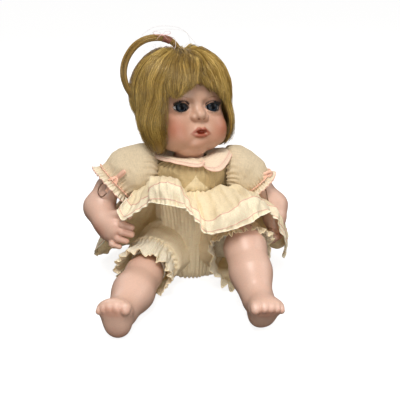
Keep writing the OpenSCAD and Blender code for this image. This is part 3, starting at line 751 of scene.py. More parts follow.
def build_locks(mat, rng):
    """Locks with their roots over the whole scalp, thicker at the crown."""
    n = 2100
    z = np.where(rng.random(n) < 0.5, rng.uniform(0, 0.14, n), rng.uniform(0.1, 1.08, n))
    tilt, az = np.arccos(1 - z), rng.uniform(0, 2 * np.pi, n)
    axis = unit(CROWN - SKULL)
    s = unit(np.cross(axis, V(0, 1, 0)))
    u = np.cross(axis, s)
    root = SKULL + 38 * (np.cos(tilt)[:, None] * axis + np.sin(tilt)[:, None]
                         * (np.cos(az)[:, None] * s + np.sin(az)[:, None] * u))
    level = rng.uniform(4.0, 9.6, n) - 1.6 * smooth(0.5, 1.0, z)
    P, N = comb(root, level, 34, 4.2, 0.42, 3)
    W = head_world(P)
    floor_z = 135.0 + rng.normal(0, 2.2, n)[:, None] - 9.5 * smooth(5, 22, P[..., 1]) + 2.5 * smooth(20, 44,
            P[..., 0])
    hit = in_window(P, 0.8) | (W[..., 2] < floor_z)
    hit[:, 0] = False
    first = np.where(hit.any(1), hit.argmax(1), P.shape[1] - 1).astype(float)
    keep = first > 2
    P, N, first, level, z = P[keep], N[keep], first[keep], level[keep], z[keep]
    first = np.minimum(first, P.shape[1] - 1.001) + rng.uniform(-0.55, 0.05, len(first))
    K = 14
    C, M = cut_paths(P, N, first, K)
    side = np.cross(unit(np.gradient(C, axis=1)), M)
    per = 10
    t = np.linspace(0, 1, K)[None, None, :, None]
    m = len(C)
    a, b = rng.normal(0, 1, (m, per, 1, 1)), rng.normal(0, 1, (m, per, 1, 1))
    spread = 0.9 + 0.9 * np.sin(np.pi * np.clip(t * 0.9, 0, 1)) - 1.1 * smooth(0.75, 1.0, t)
    one = (m, per, 1, 1)
    wave = rng.normal(0, 0.6, one) * np.sin(t * rng.uniform(4, 9, one) + rng.uniform(0, 6, one))
    H = C[:, None] + side[:, None] * (a * 1.15 * spread + wave) + M[:, None] * (b * 0.45 * spread)
    rng.random((m, per))  # not used, but the draws after it depend on it
    H = H.reshape(m * per, K, 3)
    # a few hairs stand off on their own
    loose = np.where(rng.random(m * per) < 0.10, 1.0, 0.0)[:, None, None]
    H += loose * np.linspace(0, 1, K)[None, :, None] ** 2 * rng.normal(0, 2.2, (m * per, 1, 3))
    width = rng.uniform(0.12, 0.22, (m * per, 1)) * (1 - 0.72 * np.linspace(0, 1, K)[None] ** 2.2)
    lock = np.repeat(rng.beta(1.6, 1.9, m), per) + rng.normal(0, 0.13, m * per)
    # Locks lying further out from the scalp are lighter: painted light on the outer hair, painted shade on
    # the hair beneath it.
    depth = np.repeat(smooth(4.0, 9.0, level), per)
    k = np.clip(lock * 0.85 + 0.35 * depth - 0.12, 0, 1)[:, None]
    c = np.where(k < 0.5, mix(DARK, MIDDLE, k * 2), mix(MIDDLE, LIGHT, k * 2 - 1))
    # Painted shade: each hair darker near its root, under the hair above it, and darker and browner where it
    # ends low by the neck and collar.
    along = np.linspace(0, 1, K)[None, :, None]
    shade = 0.72 + 0.28 * smooth(0.0, 0.22, along)
    cc = c[:, None] * shade
    low = smooth(150, 128, head_world(H)[..., 2])[..., None]
    cc = mix(cc, cc * V(0.72, 0.66, 0.5), low)
    order = np.argsort(np.arctan2(H[:, -1, 1] - 5, H[:, -1, 0]))
    for i, part in enumerate(np.array_split(order, 4)):
        v, f = strands(head_world(H[part]), width[part])
        col = np.repeat(cc[part].reshape(-1, 3), 3, axis=0)
        o = new_mesh(f"wig_locks_{i + 1}", v, f, mat, "head", col)
        if i == 0:
            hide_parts("wig_hair", "wig_fringe")


def build_hank(mat, rng):
    """A bundle from the crown, arched over and tucked in at the side. Returns its route and sides."""
    route = lerp_path([(-9, 11, 217), (-13, 10, 223), (-20, 9.5, 227.6), (-30, 9, 229.3), (-41, 8, 227.5),
                       (-51, 7, 221),
                       (-58.5, 5.5, 210), (-61, 4, 198), (-58.5, 3, 186), (-52, 2, 175), (-46, 2, 168)], 64)
    _, ss, uu = frames(route)
    q = np.linspace(0, 1, 64)
    v, f = tube(route, 2.5 * (0.75 + 0.25 * np.sin(np.pi * q)), 14)
    # The core under the strands is dark: painted shade inside the bundle.
    col = np.tile(srgb(96, 70, 22), (len(v), 1))
    parts, cols = [(v, f)], [col]
    cnt = 230
    a0 = rng.uniform(0, 2 * np.pi, cnt)
    r0 = rng.uniform(2.3, 3.15, cnt)
    a = a0[:, None] + 0.8 * q[None] + 0.15 * np.sin(q[None] * 9 + a0[:, None] * 3)
    r = r0[:, None] * (0.78 + 0.25 * np.sin(np.pi * q[None]))
    H = route[None] + r[..., None] * (np.cos(a)[..., None] * ss[None] + np.sin(a)[..., None] * uu[None])
    v, f = strands(H, 0.24 * np.ones((cnt, 64)))
    tone = mix(srgb(120, 90, 32), srgb(176, 142, 78), rng.beta(1.4, 2.0, cnt)[:, None])
    parts.append((v, [f]))
    cols.append(np.repeat(np.repeat(tone, 64, axis=0), 3, axis=0))
    v, f = join(parts)
    o = new_mesh("hank", v, f, mat, "head", np.vstack(cols))
    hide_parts("ponytail")
    return route, ss, uu


def build_hank_band(route, ss, uu):
    """Thread wound six times round the hank."""
    turns = np.linspace(0, 1, 150)
    at = 7 + 4.5 * turns  # along the 64 points of the route
    cen, sd, ud = (np.stack([np.interp(at, np.arange(64), row[:, k]) for k in range(3)],
                            1) for row in (route, ss, uu))
    ang = turns[:, None] * 2 * np.pi * 6
    v, f = tube(cen + 3.0 * (np.cos(ang) * sd + np.sin(ang) * ud), 0.55, 8)
    o = new_mesh("hank_band", v, f, plain("hair_band", srgb(150, 96, 84), 0.6), "head")
    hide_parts("ponytail_band")


def build_hair_net():
    """Fine threads from the hank down to the hair, rows across them, and three loose ones on top."""
    parts = []
    top = [((-44, 4, 232), (-30, 2, 240), (-8, 2, 238), (6, 8, 224)),
           ((-40, 8, 230), (-26, 4, 237), (-4, 4, 235), (2, 14, 222)),
           ((-18, 6, 231), (-13, 3, 228), (-14, 2, 219), (-19, 0, 215))]
    for i, r in enumerate(top):
        parts.append(tube(lerp_path(r, 30), (0.13, 0.10, 0.42)[i], 5))
    inner = lerp_path([(-15, 9, 221), (-30, 8.5, 224.5), (-41, 7, 222.5), (-50, 6, 216), (-55, 4.5, 206),
                       (-57, 3.5, 197), (-54.5, 3, 188), (-49, 2, 178)], 30)
    feet = [head_world(onto((head_local(p) * 0.55 + SKULL * 0.45)[None], V(9.3))[0][0]) for p in inner]
    for i in range(30):
        end = feet[i] + V(4.0 * math.sin(i * 1.7), 0, 3 * math.cos(i * 2.3))
        mid_p = (inner[i] + end) / 2 + V(0.5 * math.sin(i), -1.2, 0)
        parts.append(tube(lerp_path([inner[i], mid_p, end], 9), 0.055, 4, cap=False))
    for s in np.linspace(0.2, 0.85, 6):
        pts = []
        for i in range(30):
            pts.append(mix(inner[i], feet[i], s) + V(0, -1.0 * math.sin(np.pi * s), 0.5 * math.sin(i * 2.1)))
        parts.append(tube(lerp_path(pts, 60), 0.05, 4, cap=False))
    v, f = join(parts)
    o = new_mesh("hair_net_threads", v, f, plain("net_thread", srgb(246, 236, 236), 0.5, Alpha=0.55), "head")
    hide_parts("hair_net")


def build_hank_bow():
    """Little ribbon bow where the hank starts."""
    parts = []
    for s in (-1, 1):
        loop = [(-25, 5, 232), (-25 + s * 3, 4.5, 235), (-25 + s * 7, 4.5, 235.5), (-25 + s * 7.5, 5, 233.2),
                (-25 + s * 3, 5, 232.2), (-25, 5, 232)]
        parts.append(tube(lerp_path(loop, 30), 0.35, 6, flat=0.35))
        parts.append(tube(lerp_path([(-25, 5, 232), (-25 + s * 3, 4, 230.5), (-25 + s * 5, 3.5, 228)], 12),
                          0.33, 6, flat=0.35))
    parts.append(tube(lerp_path([(-26, 5, 232), (-25, 4.6, 232.2), (-24, 5, 232)], 6), 0.8, 8))
    v, f = join(parts)
    o = new_mesh("hank_bow", v, f, plain("net_bow", srgb(236, 190, 190), 0.4, Sheen_Weight=0.3), "head")
    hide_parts("ponytail_bow")


def build_wig():
    rng = np.random.default_rng(11)
    mat = hair_material()
    build_wig_base(mat)
    build_locks(mat, rng)
    build_hank_band(*build_hank(mat, rng))
    build_hair_net()
    build_hank_bow()


# ---------------------------------------------------------------- porcelain arms and legs

def skin_tone(p, spots):
    """Skin colour at points, rosier round each spot of (middle, radii, strength)."""
    k = 0
    for c, r, a in spots:
        k = k + a * bell(p, c, r)
    return mix(np.tile(SKIN, (len(p), 1)), BLUSH, np.clip(k, 0, 0.9)[:, None])


def build_arm_right():
    W, PAW, N = unit(V(-0.378, 0, -0.926)), unit(V(0.40, -0.845, -0.352)), unit(V(-0.78, -0.50, 0.32))
    axes = np.stack([W, PAW, N], 1)
    fingers = [((-71.0, -44.5, 71.0), (-60.2, -50.5, 67.0), 3.75),
               ((-73.2, -45.5, 64.3), (-60.6, -51.5, 60.6), 3.85),
               ((-76.0, -45.5, 57.4), (-65.6, -51.5, 54.2), 3.5),
               ((-79.6, -44.5, 51.4), (-72.2, -50.5, 48.4), 3.2)]

    def hand(p):
        d = d_cone(p, (-66, -9, 100.5), (-80, -10.5, 91.5), 10.6, 10.8)
        d = s_min(d, d_cone(p, (-80, -10.5, 91.5), (-88.2, -14, 74.5), 10.8, 14.6), 5)
        d = s_min(d, d_cone(p, (-88.4, -15, 73.0), (-83.0, -31, 67.0), 14.8, 12.6), 5)
        d = s_min(d, d_egg(p, (-78.3, -39.5, 62.2), (13.2, 13.0, 8.6), axes), 6)
        g = None
        for a, b, r in fingers:
            a, b = V(*a), V(*b)
            m = mix(a, b, 0.55) + 1.1 * N
            e = s_min(d_cone(p, a - 3 * N, m, r, r), d_cone(p, m, b - 2.6 * N, r, r * 0.84), 1.2)
            g = e if g is None else s_min(g, e, 0.55)
        d = s_min(d, g, 2.2)
        t = s_min(d_cone(p, (-77, -37, 73), (-68.5, -43, 77.6), 5.6, 3.9),
                  d_cone(p, (-68.5, -43, 77.6), (-59.6, -47, 76.6), 3.9, 2.9), 1.5)
        return s_min(d, t, 2.4)
    v, f = surface(hand, (-107, -58, 40), (-54, 4, 116), 0.62)
    c = skin_tone(v, [((-86, -38, 60), (9, 9, 8), 0.75), ((-92, -22, 66), (9, 12, 9), 0.25),
                      ((-62, -53, 60), (7, 5, 14), 0.35),
                      ((-72, -49, 62), (3, 4, 12), 0.3), ((-64, -46, 77), (4, 4, 3), 0.2)])
    o = new_mesh("porcelain_arm_right", v, f, BISQUE, "arm_right", c)
    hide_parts("arm_right")


def build_arm_left():
    PAW = unit(V(0.08, -0.34, -0.94))
    W = unit(np.cross(PAW, V(0.9, -0.3, 0.4)))
    N = np.cross(W, PAW)
    axes = np.stack([W, PAW, N], 1)
    knuckle = V(80.5, -29.5, 50.0)

    def hand(p):
        d = d_cone(p, (58, -8, 97), (67, -9.5, 87.5), 10.4, 10.6)
        d = s_min(d, d_cone(p, (67, -9.5, 87.5), (79.5, -13, 69.5), 10.6, 14.0), 5)
        d = s_min(d, d_cone(p, (80.0, -14, 69), (80.2, -21, 62.0), 14.2, 12.2), 4)
        d = s_min(d, d_egg(p, (80.0, -26, 56.5), (11.2, 12.0, 8.4), axes), 5)
        g = None
        for k in range(4):
            a = knuckle + W * (k - 1.5) * 5.7
            m = a + PAW * 6.2 + 0.8 * N
            b = a + PAW * 9.6 - 3.6 * N
            r = (3.5, 3.7, 3.5, 3.1)[k]
            e = s_min(d_cone(p, a - 2 * N, m, r, r), d_cone(p, m, b, r, r * 0.85), 1.2)
            g = e if g is None else s_min(g, e, 0.5)
        d = s_min(d, g, 2.0)
        t0 = V(80, -25, 58) - W * 8
        t = s_min(d_cone(p, t0, t0 + PAW * 9 - W * 3, 5, 3.7),
                  d_cone(p, t0 + PAW * 9 - W * 3, t0 + PAW * 16 - W * 2 - N * 2, 3.7, 2.9), 1.5)
        return s_min(d, t, 2.2)
    v, f = surface(hand, (44, -62, 24), (104, 6, 112), 0.66)
    c = skin_tone(v, [((88, -34, 54), (8, 8, 8), 0.4), ((82, -38, 44), (9, 6, 8), 0.4),
                      ((92, -14, 68), (7, 9, 9), 0.25)])
    o = new_mesh("porcelain_arm_left", v, f, BISQUE, "arm_left", c)
    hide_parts("arm_left")


# the five toes from the big one: radius, place across the foot, reach from the heel, and the nail's reach
TOE_R, TOE_X = (4.3, 3.7, 3.5, 3.3, 3.0), (-9.6, -2.4, 3.5, 8.6, 12.8)
TOE_Y, NAIL_Y = (19.2, 20.0, 19.5, 18.2, 16.2), (23.4, 23.6, 22.8, 21.2, 18.8)


def build_leg(name, knee, ankle, heel, s, foot_tilt, toe_lift):
    """s is +1 for the doll's left. The foot stands square to the leg, its sole turned outwards."""
    knee, ankle, heel = V(*knee), V(*ankle), V(*heel)
    d = unit(ankle - knee)
    up = unit(np.cross(np.cross(d, V(0, 0, 1)), d))
    across = unit(np.cross(d, up)) * -s
    sole = unit(d + foot_tilt * across)
    across = unit(np.cross(up, sole)) * (1 if np.cross(up, sole) @ across > 0 else -1)

    def foot(p):
        q = np.stack([(p - heel) @ across, (p - heel) @ up, (p - heel) @ sole], -1)
        r = 16.6 if s < 0 else 18.6
        e = d_cone(p, knee - 1.0 * d, knee + 9 * d, 14.2, r)
        e = s_min(e, d_cone(p, knee + 9 * d, knee + 0.55 * (ankle - knee), r, 18.2), 6)
        e = s_min(e, d_cone(p, knee + 0.55 * (ankle - knee), ankle - 3 * d, 18.4, 13.6), 6)
        f = d_egg(q, (0, 0.5, -1.5), (12.0, 13.4, 10.8))
        f = s_min(f, d_egg(q, (0.5, 9, -2.0), (13.4, 13, 9.8)), 4)
        f = s_min(f, d_egg(q, (0.8, 14.5, -1.0), (15.2, 9.0, 8.6)), 4)
        f = s_min(f, d_cone(q, (0, 6, -8), (0, 2, -16), 12.5, 12.0), 5)
        f = s_max(f, q[..., 2] - 9.2, 4)
        toes = None
        for r, x, y in zip(TOE_R, TOE_X, TOE_Y):
            y = y + toe_lift
            g = s_min(d_egg(q, (x, y, 1.0), (r, r * 0.95, r * 1.35)),
                      d_egg(q, (x, y - 0.3, 4.2), (r * 0.92, r * 0.9, r * 0.8)), 1.6)
            toes = g if toes is None else s_min(toes, g, 0.45)
        f = s_min(f, toes, 1.4)
        return s_min(e, f, 5)
    low = np.minimum(knee, heel) - 26
    high = np.maximum(knee, heel) + 30
    low[2] = max(low[2], -2)
    v, f = surface(foot, low, high, 0.78)
    q = np.stack([(v - heel) @ across, (v - heel) @ up, (v - heel) @ sole], 1)
    k = 0.45 * bell(q, (0, 19, 6), (15, 4, 5)) + 0.35 * bell(q, (0, -6, 4), (11, 7, 7)) + 0.25 * bell(q,
            (0, 14.5, 8), (14, 2, 3))
    k += 0.25 * bell(v, knee + 4 * d + 18 * up, (16, 8, 10))
    c = mix(np.tile(SKIN, (len(v), 1)), BLUSH, np.clip(k, 0, 0.8)[:, None])
    nails = 0
    for x, y in zip(TOE_X, NAIL_Y):
        nails = nails + bell(q, (x, y + toe_lift, 2.4), (2.6 if x == TOE_X[0] else 2.0, 1.6, 2.2))
    c = mix(c, srgb(246, 214, 200), np.clip(0.55 * nails, 0, 1)[:, None])
    o = new_mesh(f"porcelain_{name}", v, f, BISQUE, name, c)
    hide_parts(name)


def build_limbs():
    build_arm_right()
    build_arm_left()
    build_leg("leg_right", (-45, -50, 24), (-68.5, -115.5, 15.5), (-71.5, -128.5, 12.8), -1, -0.06, -1.2)
    build_leg("leg_left", (44, -58, 55), (50.0, -113, 19.2), (51.4, -126.5, 12.9), 1, -0.05, 0.4)


# ---------------------------------------------------------------- cotton voile, laid on grids

CREAM, WHITE, PINK = srgb(252, 238, 204), srgb(255, 248, 228), srgb(240, 196, 180)


THROUGH = 0.17  # share of the light on the cloth that comes through it


def voile_material(name, dots=False):
    n = Nodes(name)
    wu, wv = n.attr("wu").outputs["Fac"], n.attr("wv").outputs["Fac"]
    at = n.add("ShaderNodeCombineXYZ", {"X": wu, "Y": wv})

    def yarns(scale):
        place = n.add("ShaderNodeMapping", {"Vector": at.outputs[0], "Scale": scale}).outputs[0]
        return n.add("ShaderNodeTexNoise", {"Vector": place, "Scale": 1.0, "Detail": 2.0}).outputs["Fac"]

    warp, weft = yarns((2.1, 0.12, 1)), yarns((0.12, 2.1, 1))
    crepe = n.add("ShaderNodeTexNoise",
                  {"Vector": at.outputs[0], "Scale": 0.55, "Detail": 4.0, "Roughness": 0.7}).outputs["Fac"]
    slub = n.math("ADD", n.math("ADD", warp, weft), crepe)
    value = n.math("MULTIPLY_ADD", slub, 0.34, 0.50)
    if dots:
        slant = n.add("ShaderNodeMapping", {"Vector": at.outputs[0], "Rotation": (0, 0, 0.785)}).outputs[0]
        grid = n.add("ShaderNodeTexVoronoi",
                     {"Vector": slant, "Scale": 0.52, "Randomness": 0.15}).outputs["Distance"]
        spot = n.add("ShaderNodeMapRange",
                     {"Value": grid, "From Min": 0.16, "From Max": 0.27, "To Min": 1.0,
                      "To Max": 0.0}).outputs[0]
        value = n.math("MULTIPLY_ADD", spot, 0.11, value)
    tone = n.attr("tone").outputs["Color"]
    grey = n.add("ShaderNodeCombineColor", {"Red": value, "Green": value, "Blue": value}).outputs[0]
    mul = n.add("ShaderNodeVectorMath", {0: tone, 1: grey}, operation="MULTIPLY").outputs[0]
    n.set(Base_Color=mul, Roughness=0.85, Specular_IOR_Level=0.2, Sheen_Weight=0.12)
    height = n.math("MULTIPLY_ADD", spot, 0.8, slub) if dots else slub
    glow = n.add("ShaderNodeBsdfTranslucent", {"Color": mul, "Normal": n.bump(height, 0.35, 0.0006)})
    both = n.add("ShaderNodeMixShader", {0: THROUGH, 1: n.b.outputs[0], 2: glow.outputs[0]})
    out = next(k for k in n.t.nodes if k.type == "OUTPUT_MATERIAL")
    n.t.links.new(both.outputs[0], out.inputs["Surface"])
    return n.m


VOILE = voile_material("cotton_voile")
DOTTED = voile_material("dotted_voile", dots=True)


def satin_material(name, base):
    return plain(name, base, 0.38, Sheen_Weight=0.1)


SALMON = satin_material("salmon_ribbon", srgb(244, 196, 172))
TAUPE = satin_material("brown_ribbon", srgb(122, 88, 66))
THREAD = satin_material("pink_thread", srgb(236, 190, 172))


def grid_normal(P, wrap=False):
    du = np.gradient(P, axis=0)
    dv = (np.roll(P, -1, 1) - np.roll(P, 1, 1)) / 2 if wrap else np.gradient(P, axis=1)
    return unit(np.cross(dv, du))


def shell(P, t=0.4, wrap=False):
    """Cloth of thickness t about a grid of points (row, column, 3), closed round its edges."""
    R, C, _ = P.shape
    n = grid_normal(P, wrap)
    v = np.vstack([(P + n * t / 2).reshape(-1, 3), (P - n * t / 2).reshape(-1, 3)])
    f, K = grid_faces(R, C, wrap_cols=wrap), R * C
    c, r = np.arange(C), np.arange(R)
    if wrap:
        edges = [np.append(c, 0), np.append(c, 0)[::-1] + (R - 1) * C]
    else:
        edges = [np.concatenate([c, r[1:] * C + C - 1, (R - 1) * C + c[::-1][1:], r[::-1][1:] * C])]
    rim = [np.stack([e[1:], e[:-1], e[:-1] + K, e[1:] + K], 1) for e in edges]
    return v, [f, f[:, ::-1] + K] + rim


def cloth(name, P, body=None, material=None, t=0.4, wrap=False, tone=CREAM, blend=None, inner=None,
          flip=False):
    if flip:
        P = P[:, ::-1]
        tone = tone if np.ndim(tone) < 3 else np.asarray(tone)[:, ::-1]
    du = np.linalg.norm(np.diff(P, axis=1, append=P[:, :1] if wrap else P[:, -1:]), axis=-1)
    dv = np.linalg.norm(np.diff(P, axis=0), axis=-1)
    wu = np.tile((np.cumsum(du.mean(0)) - du.mean(0)[0])[None], (len(P), 1)).ravel()
    wv = np.tile(np.concatenate([[0], np.cumsum(dv.mean(1))])[:, None], (1, P.shape[1])).ravel()
    v, f = shell(P, t, wrap)
    tone = np.broadcast_to(np.asarray(tone, float), P.shape).reshape(-1, 3)
    # inner colours the inside faces: the skirt, hem band and bloomers get a warmer cream inside, painted
    # light coming through the voile.
    back = tone if inner is None else np.broadcast_to(np.asarray(inner, float), P.shape).reshape(-1, 3)
    o = new_mesh(name, v, f, material or VOILE, body, np.vstack([tone, back]),
                 fields={"wu": np.tile(wu, 2), "wv": np.tile(wv, 2)})
    if blend:
        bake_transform(o)
    return o


def rings(centres, axes_a, axes_b, ra, rb, n):
    """Grid of oval rings: one centre, two axes and two radii for each row."""
    a = around(n)[None, :, None]
    c, ea, eb = (np.asarray(k, float)[:, None, :] for k in (centres, axes_a, axes_b))
    ra, rb = (np.asarray(k, float)[:, None, None] for k in (ra, rb))
    return c + ra * np.sin(a) * ea + rb * np.cos(a) * eb


def pleats(n, count, seed, amount=0.35):
    """Uneven folds round a ring: -1..1 at n angles."""
    a = around(n)
    ring = np.stack([np.cos(a), np.sin(a), 0 * a], 1)
    shift = value_noise(ring * 1.7 + 5, seed) * 2.2
    size = 0.75 + amount * value_noise(ring * count / 5.0, seed + 1)
    return np.sin(a * count + shift * 2) * size


def table(keys, rows):
    """Smooth interpolation of a list of rows of numbers."""
    k = np.asarray(keys, float)
    t = np.linspace(0, len(k) - 1, rows)
    i = np.minimum(t.astype(int), len(k) - 2)
    return spline(with_ends(k), i, (t - i)[:, None])


# ---------------------------------------------------------------- bodice and collar

def build_bodice():
    k = table([(80, 0, 37, 31), (88, -1.5, 37.5, 32), (98, -4.5, 37.5, 32), (108, -7, 37, 30.5),
               (115, -9, 34, 27),
               (119.5, -10, 27, 21.5), (121.5, -10, 20, 17.5), (122, -10, 17.5, 16)], 90)
    n = 420
    z, cy, rx, ry = (k[:, i] for i in range(4))
    a = around(n)
    P = rings(np.stack([-1.0 + 0 * z, cy, z], 1), np.tile([1, 0, 0], (90, 1)), np.tile([0, -1, 0], (90, 1)),
              rx, ry, n)
    N = grid_normal(P, True)
    front = smooth(0.1, 0.6, np.cos(a))[None]
    tucks = np.zeros(n)
    for c in (-0.62, -0.46, -0.30, 0.30, 0.46, 0.62):
        tucks += np.exp(-((((a + np.pi) % (2 * np.pi)) - np.pi - c) / 0.022) ** 2)
    low = smooth(104, 82, z)[:, None]
    high = smooth(106, 118, z)[:, None]
    d = 0.9 * tucks[None] * smooth(84, 92, z)[:, None] * smooth(118, 112, z)[:, None]
    d = d + 1.5 * pleats(n, 46, 3)[None] * low + 0.8 * pleats(n, 38, 9)[None] * high
    d = d + 1.6 * value_noise(P / 11.0, 4) + 0.7 * value_noise(P / 4.0, 5)
    P = P + N * d[..., None]
    # Khaki cream over most of the bodice, partly the body showing through the voile and partly painted shade
    # under the chin and collar; the front panel between the tucks is painted lighter, as lit (shade is the
    # weight of that lighter cream).
    apex = np.abs(P[..., 0] - 2) < 14 * smooth(112, 92, P[..., 2])
    shade = np.where(apex & (front > 0.5), 1.0, 0.0) * smooth(84, 90, z)[:, None]
    tone = mix(np.broadcast_to(srgb(200, 176, 130), P.shape), CREAM, (0.10 + 0.65 * shade)[..., None])
    o = cloth("tucked_bodice", P, "root", VOILE, 0.5, True, tone)
    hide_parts("bodice")
    for c in (-1.18, 1.18):
        i = int(round((c % (2 * np.pi)) / (2 * np.pi) * n)) % n
        v, f = tube(lerp_path(P[8:78, i] + N[8:78, i] * 0.4, 60), 0.55, 6)
        new_mesh("armhole_seam_" + ("left" if c > 0 else "right"), v, f, VOILE, "root",
                             srgb(96, 66, 38))
    binding, f = tube(table([(-1 + 16.8 * math.sin(t), -10 - 15.4 * math.cos(t),
                              122.4) for t in np.linspace(0, 2 * np.pi, 41)], 120), 1.1, 8)
    o = new_mesh("neck_binding_cloth", binding, f, VOILE, "root", CREAM)
    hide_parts("neck_binding")
    back = P[:, n // 2 - 10:n // 2 + 11]
    for k, zz in enumerate((88, 96, 104)):
        r = back[np.abs(back[..., 2] - zz) < 2.2][:, 1].max()
        prof = [(0, 0.5), (0.7, 0.5), (1.1, 0.75), (2.4, 0.9), (2.9, 1.35), (3.1, 1.0), (3.1, 0.2), (2.7, 0),
                (0, 0)]
        c = around(32)
        v = np.stack([np.stack([p[0] * np.cos(c), 0 * c + p[1], p[0] * np.sin(c)],
                               1) for p in prof]).reshape(-1, 3)
        o = new_mesh(f"back_button_{k + 1}", v + V(-1, r + 0.1, zz), grid_faces(len(prof), 32, True), BUTTON,
                     "root")
        if k == 0:
            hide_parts("bodice_buttons")


COLLAR = {  # outer edge, from the middle of the front round to the back, for each half
    "right": [(10.6, -37.5, 124.6), (6.5, -39.3, 121.0), (-3, -39.6, 121.8), (-12.5, -38.5, 123.8),
              (-23, -33.5, 124.8),
              (-30.5, -27, 125), (-35.8, -19, 125.4), (-37.6, -10, 125.4), (-36, 2, 124.5), (-30, 12, 121.5),
              (-20, 18.8, 117.5), (-8, 22, 115.2), (-2.6, 21, 116)],
    "left": [(8.2, -37.2, 124.6), (12, -40.4, 119.0), (18.5, -40.5, 116.8), (26, -38.5, 117.2),
             (32.6, -31.5, 122),
             (36.8, -22, 125.2), (38.6, -12, 125.6), (36.5, 1, 124.5), (30, 12, 121.5), (20, 18.8, 117.5),
             (8, 22, 115.2), (1.4, 21, 116)]}


def build_collar():
    for side, edge in COLLAR.items():
        s = -1 if side == "right" else 1
        E = lerp_path(edge, 150)
        t = np.linspace(0, 1, 150)
        a = mix(-0.5, 3.12, t) * s if s > 0 else mix(0.56, -3.12, t)
        I = np.stack([-1 + 16.6 * np.sin(a), -10 - 15.2 * np.cos(a), 122.6 + 0 * a], 1)
        rows = []
        for u in np.linspace(0, 1, 26):
            q = mix(I, E, u)
            q[:, 2] += 1.9 * np.sin(np.pi * u) - 1.2 * u * u * (u > 0.9)
            rows.append(q)
        P = np.array(rows)
        P = P + grid_normal(P) * (0.55 * value_noise(P / 7.0, 11))[..., None]
        pinkish = np.exp(-((np.arange(26) - 22.5) / 1.6) ** 2)[:, None, None]
        tone = mix(np.tile(srgb(246, 229, 204), (26, 150, 1)), PINK, 0.45 * pinkish)
        o = cloth(f"collar_half_{side}", P[:, ::-1] if s > 0 else P, "root", VOILE, 0.7, False, tone)
        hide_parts(f"collar_{side}")
        n = grid_normal(P)
        up = np.where(n[..., 2:] > 0, 1, -1)
        v1, f1 = tube(lerp_path(P[22, 1:-1] + n[22, 1:-1] * up[22, 1:-1] * 0.38, 260), 0.22, 6)
        v2, f2 = tube(lerp_path(P[25], 200), 0.42, 6)
        v, f = join([(v1, f1), (v2, f2)])
        st = new_mesh(f"collar_stitch_{side}", v, f, THREAD, "root")


# ---------------------------------------------------------------- sleeves, ribbons and bows

def bow_parts(at, side, out, up, size=1.0, width=1.6):
    """Flat ribbon bow: two loops, two tails and a knot, in the plane of side and up, facing out."""
    at, side, out, up = V(*at), unit(side), unit(out), unit(up)
    parts = []

    def ribbon(path, w, face):
        p = lerp_path(path, 30)
        t = unit(np.gradient(p, axis=0))
        b = unit(np.cross(t, np.broadcast_to(face, t.shape)))
        P = np.stack([p - b * w / 2, p - b * w / 6 + face * 0.12, p + b * w / 6 + face * 0.12,
                      p + b * w / 2], 1)
        parts.append(shell(P, 0.18))
    for s in (-1, 1):
        loop = [at, at + size * (s * 3 * side + 1.6 * up + 1.2 * out),
                at + size * (s * 7 * side + 3.0 * up + 1.6 * out),
                at + size * (s * 8.4 * side + 0.6 * up + 1.0 * out),
                at + size * (s * 5 * side - 0.9 * up + 0.9 * out), at + 0.2 * out]
        ribbon(loop, width, out)
        tail = [at, at + size * (s * 2.2 * side - 3 * up + 1.2 * out),
                at + size * (s * 3.4 * side - 7 * up + 1.4 * out),
                at + size * (s * 5 * side - 11 * up + 1.0 * out)]
        ribbon(tail, width, out)
    v, f = tube(lerp_path([at - 0.9 * up, at + 0.5 * out, at + 0.9 * up], 9), (0.5, 1.1, 0.5), 10)
    parts.append((v, f))
    return parts


